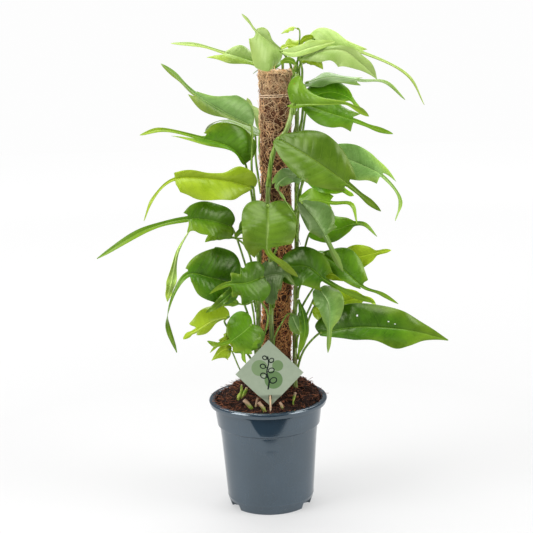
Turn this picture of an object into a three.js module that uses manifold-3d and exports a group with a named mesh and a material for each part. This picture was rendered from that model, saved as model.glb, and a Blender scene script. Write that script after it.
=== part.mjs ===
// A skeleton key pothos in a nursery pot: climbing stems on a coir pole, each leaf a solid
// of its own with its leaf stalk, the potting soil, and a square card on a wooden stick.
// Millimetres, +Z up. The origin is the middle of the underside of the pot's base, which
// stands on the ground plane. The front of the plant looks along -Y.
import * as THREE from 'three';
import { mergeVertices } from 'three/addons/utils/BufferGeometryUtils.js';
import Module from 'manifold-3d';

// Pot
const LIP_R = 95;            // outer radius of the turned-over lip
const LIP_H = 9;             // height of the lip's skirt
const POT_H = 176;
const COLLAR_TOP_R = 86.2;   // collar, just under the lip
const COLLAR_FOOT_R = 82.6;  // collar, at the step down to the body
const STEP_Z = 133;
const BODY_TOP_R = 79;
const BODY_FOOT_R = 69.4;
const FOOT_R = 65.6;         // where the three feet meet the ground
const FOOT_H = 12;
const WALL = 2.2;
const NOTCH_W = 27;          // gap between two feet
const BOSS_R = 22;           // flat middle of the base, level with the feet
const POT_SIDES = 36;

// Soil
const SOIL_GAP = 0.4;        // between the soil and everything that stands in it
const SOIL_BOTTOM = 8.5;
const SOIL_EDGE_Z = 173;
const SOIL_DOME = 22;
const SOIL_R = 84;
const SOIL_TILT = [5, 9];    // the right and the back edge are this much higher

// Coir pole
const POLE_FOOT = [10, 0, 24];
const POLE_TOP = [26.5, 0, 690];
const POLE_R = 23.6;
const POLE_TOP_R = 25;
const TIE_Z = 654;           // the wire's two turns lie about this height
const TIE_BAND = 6;          // the pole is gathered in this far above and below
const TIE_WAIST_R = 21.8;
const WIRE_R = 0.8;

// Card and stick
const CARD = 75;
const CARD_T = 0.6;
const CARD_MID = [3.5, -67.6, 233.5];
const CARD_LEAN = 4.8;       // degrees, top edge back
const STICK_R = 1.4;

// Stems and leaves
const VINE_R = 4;
const STALK_R = 1.5;
const BLADE_T = 1.0;
const STRAP_W = 3.6;         // half the width of the long tip
const SEAT = 0.35;           // between a leaf stalk's foot and its stem
const BASE_T = 2.2;          // a blade's thickness where the stalk runs into it
const STALK_RINGS = 4;
const STALK_REACH = 0.985;   // the share of the way to the blade that the stalk's rings take
const FINE_SECTION = [12, 52, 90, 128, 168, 192, 232, 270, 308, 348];   // degrees round a stalk
const PLAIN_SECTION = [20, 90, 160, 200, 270, 340];

const wasm = await Module();
wasm.setup();

function toSolid(geometry) {
  let g = geometry.clone();
  for (const name of Object.keys(g.attributes)) if (name !== 'position') g.deleteAttribute(name);
  g = mergeVertices(g, 1e-4);
  return new wasm.Manifold(new wasm.Mesh({
    numProp: 3,
    vertProperties: new Float32Array(g.attributes.position.array),
    triVerts: new Uint32Array(g.index.array),
  }));
}

function toGeometry(solid) {
  const m = solid.getMesh();
  const g = new THREE.BufferGeometry();
  g.setAttribute('position', new THREE.BufferAttribute(new Float32Array(m.vertProperties), 3));
  g.setIndex(new THREE.BufferAttribute(new Uint32Array(m.triVerts), 1));
  return g;
}

const vec = (p) => new THREE.Vector3(...p);
const curveThrough = (points) =>
  new THREE.CatmullRomCurve3(points.map(vec), false, 'centripetal');

// A closed skin through rings that all have the same number of points, with flat ends. A
// quad's diagonal leans as diagonal(k) says, the same on a blade's two faces.
function skin(rings, diagonal) {
  const n = rings[0].length;
  const position = rings.flat().flatMap((p) => [p.x, p.y, p.z]);
  const index = [];
  for (let i = 0; i + 1 < rings.length; i++) {
    for (let k = 0; k < n; k++) {
      const a = i * n + k;
      const b = i * n + (k + 1) % n;
      const c = a + n;
      const d = b + n;
      if (diagonal(k)) index.push(a, b, c, b, d, c);
      else index.push(a, b, d, a, d, c);
    }
  }
  const last = (rings.length - 1) * n;
  for (let k = 1; k + 1 < n; k++) {
    index.push(0, k + 1, k, last, last + k, last + k + 1);
  }
  let volume = 0;
  const at = (i) => new THREE.Vector3(...position.slice(3 * i, 3 * i + 3));
  for (let t = 0; t < index.length; t += 3) {
    volume += at(index[t]).dot(at(index[t + 1]).cross(at(index[t + 2])));
  }
  if (volume < 0) for (let t = 0; t < index.length; t += 3) index.splice(t, 2, index[t + 1], index[t]);
  const g = new THREE.BufferGeometry();
  g.setAttribute('position', new THREE.Float32BufferAttribute(position, 3));
  g.setIndex(index);
  return g;
}

// A round rod along a curve.
function rod(points, radius, sides, steps) {
  const ring = new THREE.Shape();
  for (let k = 0; k < sides; k++) {
    const a = (2 * Math.PI * k) / sides;
    const [x, y] = [radius * Math.cos(a), radius * Math.sin(a)];
    if (k) ring.lineTo(x, y);
    else ring.moveTo(x, y);
  }
  ring.closePath();
  return new THREE.ExtrudeGeometry(ring, {
    steps, bevelEnabled: false, extrudePath: curveThrough(points),
  });
}

const group = new THREE.Group();
function add(name, geometry, color, roughness, metalness = 0) {
  const material = new THREE.MeshStandardMaterial({ color, roughness, metalness });
  const mesh = new THREE.Mesh(geometry, material);
  mesh.name = name;
  group.add(mesh);
  return mesh;
}

// Pot: one turned wall with a collar and an open lip, then three gaps between the feet,
// cut high enough to open as drain slots at the corner of the base.
{
  const wall = [
    [0, 0], [BOSS_R, 0], [BOSS_R + 2, 5], [FOOT_R - 7, 5], [FOOT_R - 5, 0], [FOOT_R, 0],
    [BODY_FOOT_R, FOOT_H], [BODY_TOP_R, STEP_Z - 1.5], [COLLAR_FOOT_R, STEP_Z + 1.5],
    [COLLAR_TOP_R, POT_H - 12], [COLLAR_TOP_R + 0.4, POT_H - 3], [LIP_R - WALL, POT_H - 3],
    [LIP_R - 1.8 - WALL, POT_H - LIP_H], [LIP_R - 1.8, POT_H - LIP_H], [LIP_R, POT_H - 2],
    [LIP_R - 1.6, POT_H], [COLLAR_TOP_R + 1.6, POT_H], [COLLAR_TOP_R - 1.6, POT_H - 2.2],
    [COLLAR_TOP_R - WALL, POT_H - 13], [COLLAR_FOOT_R - WALL, STEP_Z + 1],
    [BODY_TOP_R - WALL, STEP_Z - 3], [BODY_FOOT_R - WALL, FOOT_H + 1], [FOOT_R - 1, 8], [0, 8],
  ].map(([r, z]) => new THREE.Vector2(r, z));
  const turned = new THREE.LatheGeometry(wall, POT_SIDES).rotateX(Math.PI / 2);
  let pot = toSolid(turned);
  for (const degrees of [-30, 90, 210]) {
    const notch = new THREE.BoxGeometry(16, NOTCH_W, 12);
    notch.translate(FOOT_R + 2, 0, 4).rotateZ(THREE.MathUtils.degToRad(degrees));
    pot = pot.subtract(toSolid(notch));
  }
  add('pot', toGeometry(pot), 0x46525b, 0.3);
}

// Coir pole: rings about a leaning axis, gathered in under the wire near the top.
const poleAxis = (z) => {
  const t = (z - POLE_FOOT[2]) / (POLE_TOP[2] - POLE_FOOT[2]);
  return new THREE.Vector2(
    POLE_FOOT[0] + t * (POLE_TOP[0] - POLE_FOOT[0]),
    POLE_FOOT[1] + t * (POLE_TOP[1] - POLE_FOOT[1]),
  );
};
function poleSkin(swell, fromZ, toZ) {
  const rings = [];
  const [top, low, high] = [POLE_TOP[2], TIE_Z - TIE_BAND, TIE_Z + TIE_BAND];
  const heights = [POLE_FOOT[2], 100, 180, 225, 270, 320, 370, 420, 470, 520, 570, 610, 636,
    low, high, top - 20, top - 10, top - 3, top].filter((z) => z >= fromZ && z <= toZ);
  for (let z of heights) {
    let r = POLE_R + 0.7 * Math.sin(z * 0.071);
    if (z > high) r = POLE_TOP_R;
    if (z === low || z === high) r = TIE_WAIST_R;
    if (z === top - 3) r = POLE_TOP_R - 2;
    if (z === top) r = POLE_TOP_R - 8;
    const c = poleAxis(z);
    if (swell && z === POLE_FOOT[2]) z -= SOIL_GAP;
    const ring = [];
    for (let k = 0; k < 18; k++) {
      const a = (2 * Math.PI * k) / 18;
      const rough = z > low - 8 ? 0 : 0.6 * Math.sin(5 * a + z * 0.11);
      const q = r + rough + swell;
      ring.push(new THREE.Vector3(c.x + q * Math.cos(a), c.y + q * Math.sin(a), z));
    }
    rings.push(ring);
  }
  return skin(rings, () => true);
}
add('coir_pole', poleSkin(0, 0, 1000), 0x7a4a2b, 0.95);

// Wire: two turns about the waist of the pole.
{
  const turns = [];
  const points = 16;
  for (let k = 0; k <= points; k++) {
    const a = (4 * Math.PI * k) / points;
    const z = TIE_Z + TIE_BAND * (k / points - 0.5);
    const c = poleAxis(z);
    const r = TIE_WAIST_R + WIRE_R + 1.4;
    turns.push([c.x + r * Math.cos(a), c.y + r * Math.sin(a), z]);
  }
  add('pole_wire', rod(turns, WIRE_R, 5, 30), 0xd9b48f, 0.5);
}

// Climbing stems. Each stands straight in the soil and then follows the pole.
const VINES = {
  vine_left: [[-16, -27, 130], [-16, -27, 205], [-12, -25, 300], [-7, -25, 400],
    [-4, -24, 465], [-3, -24, 495]],
  vine_front: [[8, -36, 130], [8, -36, 205], [9, -33, 300], [10, -33, 400], [9, -33, 500],
    [21, -34, 575], [41, -33, 606], [52, -36, 645], [58, -40, 688]],
  vine_right: [[44, -14, 130], [44, -14, 205], [46, -14, 300], [51, -13, 400],
    [54, -12, 500], [56, -6, 580], [58, 0, 630]],
  vine_back_right: [[34, 26, 130], [34, 26, 205], [36, 28, 330], [40, 28, 480],
    [43, 28, 600], [45, 26, 660], [46, 25, 684]],
  vine_back_left: [[-12, 26, 130], [-12, 26, 205], [-10, 28, 330], [0, 28, 450],
    [6, 28, 560], [9, 27, 640], [11, 26, 668]],
};
const vineCurve = {};
for (const [name, points] of Object.entries(VINES)) vineCurve[name] = curveThrough(points);
function vineAt(name, z) {
  let [lo, hi] = [0, 1];
  for (let k = 0; k < 30; k++) {
    const mid = (lo + hi) / 2;
    if (vineCurve[name].getPoint(mid).z < z) lo = mid;
    else hi = mid;
  }
  return vineCurve[name].getPoint(lo);
}

// Half outlines of a blade. A row runs from the midrib to the edge: where it leaves the
// midrib (0 the base, 1 the shoulders, 2 the tip), where it meets the edge, the edge's
// distance as a share of the half width, and a share of the long tip's own half width. The
// row that ends at a shoulder's point also gives its middle, place and distance. A leaf with
// unlike halves names the left and the right half's outline, with a stroke between them.
const TIP = [[1, 1, 0, 1], [1.3, 1.3, 0, 0.85], [1.62, 1.62, 0, 1.25], [1.86, 1.86, 0, 0.8],
  [2, 2, 0, 0.12]];
const OUTLINES = {
  key: [[0, -0.03, 0.06], [0.03, -0.06, 0.42], [0.09, 0.02, 0.74], [0.22, 0.18, 0.95],
    [0.42, 0.42, 1], [0.62, 0.65, 0.9], [0.74, 0.84, 0.72], [0.84, 0.99, 0.54, 0, 0.88, 0.27],
    [0.93, 0.915, 0.24], ...TIP],
  taper: [[0, -0.03, 0.06], [0.03, -0.07, 0.42], [0.09, 0.02, 0.75], [0.22, 0.18, 0.96],
    [0.42, 0.42, 1], [0.62, 0.64, 0.86], [0.78, 0.81, 0.6], [0.88, 0.97, 0.36, 0, 0.905, 0.19],
    [0.95, 0.945, 0.16], ...TIP],
  broad: [[0, -0.05, 0.07], [0.04, -0.14, 0.42], [0.09, -0.09, 0.76], [0.2, 0.12, 0.98],
    [0.42, 0.42, 1], [0.62, 0.66, 0.96], [0.74, 0.86, 0.86], [0.84, 1.06, 0.62, 0, 0.87, 0.3],
    [0.93, 0.93, 0.22], ...TIP],
  heart: [[0, -0.05, 0.07], [0.04, -0.17, 0.4], [0.09, -0.12, 0.76], [0.2, 0.1, 0.98],
    [0.4, 0.4, 0.97], [0.62, 0.66, 0.82], [0.75, 0.84, 0.6], [0.85, 0.98, 0.4, 0, 0.89, 0.2],
    [0.94, 0.93, 0.18], ...TIP],
  drip: [[0, -0.03, 0.06], [0.03, -0.05, 0.4], [0.1, 0.04, 0.74], [0.25, 0.22, 0.96],
    [0.45, 0.45, 1], [0.65, 0.67, 0.84], [0.82, 0.85, 0.58], [0.94, 0.96, 0.34],
    [1.08, 1.08, 0.1, 0.6], [1.35, 1.35, 0, 1], [1.7, 1.7, 0, 0.9], [2, 2, 0, 0.12]],
  lance: [[0, -0.02, 0.05], [0.02, -0.06, 0.36], [0.09, 0.03, 0.68], [0.24, 0.22, 0.9],
    [0.45, 0.46, 1], [0.72, 0.73, 0.94], [1, 1.01, 0.78], [1.28, 1.29, 0.56],
    [1.56, 1.56, 0.34], [1.82, 1.82, 0.15], [2, 2, 0.02]],
  lobed: [[0, -0.04, 0.07], [0.04, -0.14, 0.46], [0.12, -0.02, 0.86], [0.26, 0.22, 1],
    [0.4, 0.39, 0.8], [0.52, 0.6, 0.9], [0.66, 0.64, 0.5], [0.78, 0.88, 0.58],
    [0.9, 0.88, 0.24], [1, 1, 0, 1], [1.4, 1.4, 0, 1], [2, 2, 0, 0.12]],
  narrow: [[0, 0, 0.12], [0.25, 0.25, 0.55], [0.6, 0.6, 0.95], [1, 1, 1], [1.4, 1.4, 0.8],
    [1.75, 1.75, 0.45], [2, 2, 0.06]],
  droplet: [[0, 0, 0.12], [0.25, 0.25, 0.2], [0.6, 0.6, 0.45], [1, 1, 1], [1.4, 1.4, 0.9],
    [1.75, 1.75, 0.5], [2, 2, 0.06]],
  spade: [[0, -0.05, 0.07], [0.04, -0.12, 0.5], [0.07, -0.04, 0.9], [0.13, 0.09, 1],
    [0.2, 0.17, 0.72], [0.32, 0.3, 0.44], [0.5, 0.49, 0.26], [0.72, 0.72, 0.16],
    [0.95, 0.95, 0.1], ...TIP.slice(1)],
  oval: [[0, 0, 0.05], [0.03, 0.02, 0.22], [0.1, 0.1, 0.46], [0.24, 0.24, 0.8], [0.44, 0.44, 1],
    [0.62, 0.64, 0.93], [0.77, 0.81, 0.7], [0.87, 0.97, 0.38, 0, 0.9, 0.24], [0.95, 0.95, 0.22],
    ...TIP],
  full: [[0, -0.02, 0.06], [0.03, -0.01, 0.32], [0.1, 0.08, 0.54], [0.24, 0.22, 0.78],
    [0.42, 0.42, 0.96], [0.6, 0.62, 1], [0.75, 0.79, 0.74], [0.86, 0.97, 0.4, 0, 0.9, 0.3],
    [0.95, 0.95, 0.26], ...TIP],
  late: [[0, 0, 0.05], [0.03, 0.03, 0.12], [0.1, 0.1, 0.18], [0.24, 0.24, 0.28],
    [0.43, 0.44, 0.52], [0.6, 0.64, 0.9], [0.74, 0.8, 1], [0.85, 0.98, 0.5, 0, 0.92, 0.3],
    [0.94, 0.95, 0.3], ...TIP],
  wide: [[0, 0, 0.05], [0.03, 0.04, 0.2], [0.1, 0.12, 0.44], [0.24, 0.24, 0.8], [0.42, 0.4, 0.92],
    [0.6, 0.64, 1], [0.75, 0.82, 0.78], [0.86, 0.97, 0.5, 0, 0.9, 0.3], [0.95, 0.97, 0.26], ...TIP],
  saddle: [[0, -0.03, 0.06], [0.03, -0.03, 0.4], [0.1, 0.06, 0.82], [0.22, 0.21, 1],
    [0.4, 0.4, 0.42], [0.58, 0.58, 0.32], [0.74, 0.77, 0.42], [0.86, 0.96, 0.32, 0, 0.9, 0.2],
    [0.95, 0.95, 0.2], ...TIP],
  fall: [[0, -0.03, 0.06], [0.03, 0, 0.4], [0.1, 0.08, 0.72], [0.22, 0.22, 0.96], [0.38, 0.38, 1],
    [0.54, 0.55, 0.72], [0.7, 0.72, 0.38], [0.84, 0.97, 0.2, 0, 0.88, 0.12], [0.95, 0.95, 0.13],
    ...TIP],
  tongue: [[0, 0, 0.06], [0.03, 0.01, 0.36], [0.1, 0.09, 0.42], [0.24, 0.24, 0.4],
    [0.42, 0.43, 0.44], [0.6, 0.68, 0.62], [0.74, 1, 0.95], [0.84, 1.3, 0.8, 0, 1.04, 0.5],
    [0.94, 1.08, 0.42], ...TIP],
  trowel: [[0, -0.02, 0.05], [0.02, 0, 0.2], [0.09, 0.08, 0.36], [0.24, 0.24, 0.46],
    [0.45, 0.45, 0.48], [0.72, 0.72, 0.5], [1, 1, 0.66], [1.28, 1.29, 0.94], [1.56, 1.57, 1],
    [1.82, 1.83, 0.6], [2, 2, 0.04]],
  wavy: [[0, 0, 0.05], [0.02, 0.01, 0.14], [0.09, 0.09, 0.24], [0.24, 0.24, 0.42],
    [0.45, 0.45, 0.64], [0.72, 0.72, 0.68], [1, 0.99, 1], [1.28, 1.27, 0.78], [1.56, 1.56, 0.36],
    [1.82, 1.82, 0.12], [2, 2, 0.02]],
};

// A leaf: its stalk rises from its stem's side and carries the blade. rib holds five points
// from the base by the shoulders to the tip; left and right are the blade's widest points.
function leafGeometry(spec) {
  const {
    vine, z, turn, via, rib, left, right, outline, leftPoint, rightPoint,
    wave = 3, bow = 0.1, fine = true,
  } = spec;
  const strap = spec.strap ?? STRAP_W;
  const curve = curveThrough(rib);
  const tangent = (u) => {
    const t = THREE.MathUtils.clamp(u / 2, 0.004, 0.996);
    return curve.getPoint(t + 0.004).sub(curve.getPoint(t - 0.004)).normalize();
  };
  const half = vec(rib[0]).distanceTo(vec(rib[1])) * 2;
  const ribAt = (u) => (u >= 0 ? curve.getPoint(Math.min(u / 2, 1))
    : curve.getPoint(0).addScaledVector(tangent(0), u * half));
  const reach = (widest) => {
    let best = null;
    for (let u = 0.1; u < 0.95; u += 0.02) {
      const d = vec(widest).sub(ribAt(u));
      if (!best || d.length() < best.length()) best = d;
    }
    return best;
  };
  const [L, R] = [reach(left), reach(right)];
  const across = (v, u) => {
    const t = tangent(Math.max(u, 0));
    return v.clone().addScaledVector(t, -v.dot(t)).normalize();
  };
  const flat = (u) => across(L.clone().normalize().sub(R.clone().normalize()), u);
  const shares = fine ? [1, 0.52, 0, -0.52, -1] : [1, 0, -1];
  const halves = [outline.split('/')[0], outline.split('/').at(-1)].map((kind) => OUTLINES[kind]);
  const rows = halves[0].map(([ribU], i) => shares.map((share) => {
    const [um, ue, ve, s = 0, ui, vi] = halves[share < 0 ? 1 : 0][i];
    const side = share < 0 ? R : L;
    const point = ui === undefined ? null : (share < 0 ? rightPoint : leftPoint);
    const [eu, ev] = point ?? [ue, ve];
    const w = Math.abs(share);
    const inner = w > 0 && w < 1;
    const u = w === 1 ? eu : inner ? ui ?? um + 0.4 * (eu - um) : ribU;
    const v = w === 1 ? ev : inner ? vi ?? 0.52 * ev : 0;
    const even = flat(u).multiplyScalar(share < 0 ? -1 : 1);
    const blend = THREE.MathUtils.clamp((ev - 0.1) * 4, 0, 1);
    const dir = across(side, u).lerp(even, 1 - blend).normalize();
    const up = tangent(Math.max(u, 0)).cross(flat(u)).normalize();
    const ripple = wave * v * w * Math.sin(9.5 * u + (share < 0 ? 1.3 : 4));
    const arch = inner ? bow * ev * side.length() : 0;
    return ribAt(u).addScaledVector(dir, v * side.length() + w * s * strap)
      .addScaledVector(up, ripple + arch);
  }));
  const m = shares.length;
  const normals = rows.map((row, i) => row.map((_, k) => {
    const sum = new THREE.Vector3();
    for (const [di, dk] of [[1, 1], [1, -1], [-1, -1], [-1, 1]]) {
      if (!rows[i + di] || !row[k + dk]) continue;
      const a = rows[i + di][k].clone().sub(row[k]);
      const b = row[k + dk].clone().sub(row[k]);
      sum.addScaledVector(a.cross(b).normalize(), di * dk > 0 ? -1 : 1);
    }
    return sum.normalize();
  }));
  const base = ribAt(0);
  const seatR = spec.grown ? 0 : VINE_R + STALK_R + SEAT;
  const at = vineAt(vine, z);
  const out = new THREE.Vector3(
    Math.cos(THREE.MathUtils.degToRad(turn)), Math.sin(THREE.MathUtils.degToRad(turn)), 0);
  const along = vineAt(vine, z + 16);
  const foot = at.clone().addScaledVector(out, seatR);
  const knee = along.clone().addScaledVector(out, seatR && seatR + 2);
  const stalk = new THREE.CatmullRomCurve3(
    [foot, knee, ...via.map(vec), base], false, 'centripetal');
  let A = flat(0);
  const rings = [];
  for (let k = STALK_RINGS - 1; k >= 0; k--) {
    const t = (k / STALK_RINGS) * STALK_REACH;
    const T = stalk.getTangent(Math.max(t, 0.002));
    A = A.clone().addScaledVector(T, -A.dot(T)).normalize();
    const U = T.clone().cross(A).normalize();
    const c = stalk.getPoint(t);
    rings.unshift((fine ? FINE_SECTION : PLAIN_SECTION).map((degrees) => {
      const a = THREE.MathUtils.degToRad(degrees);
      return c.clone().addScaledVector(A, STALK_R * Math.cos(a))
        .addScaledVector(U, STALK_R * Math.sin(a));
    }));
  }
  rows.forEach((row, i) => {
    const thick = (i === 0 ? BASE_T : BLADE_T) / 2;
    const top = row.map((p, k) => p.clone().addScaledVector(normals[i][k], thick));
    const under = row.map((p, k) => p.clone().addScaledVector(normals[i][k], -thick));
    rings.push([...top, ...under.reverse()]);
  });
  const mid = (m - 1) / 2;
  return skin(rings, (k) => (k < m ? k < mid : k < 2 * m - 1 - mid));
}

const GREEN = {
  deep: 0x2f6318, mid: 0x4c8a22, bright: 0x6fae2c, lime: 0x9bc832, grey: 0x6f9a68, pale: 0xa9c79a,
};
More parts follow.
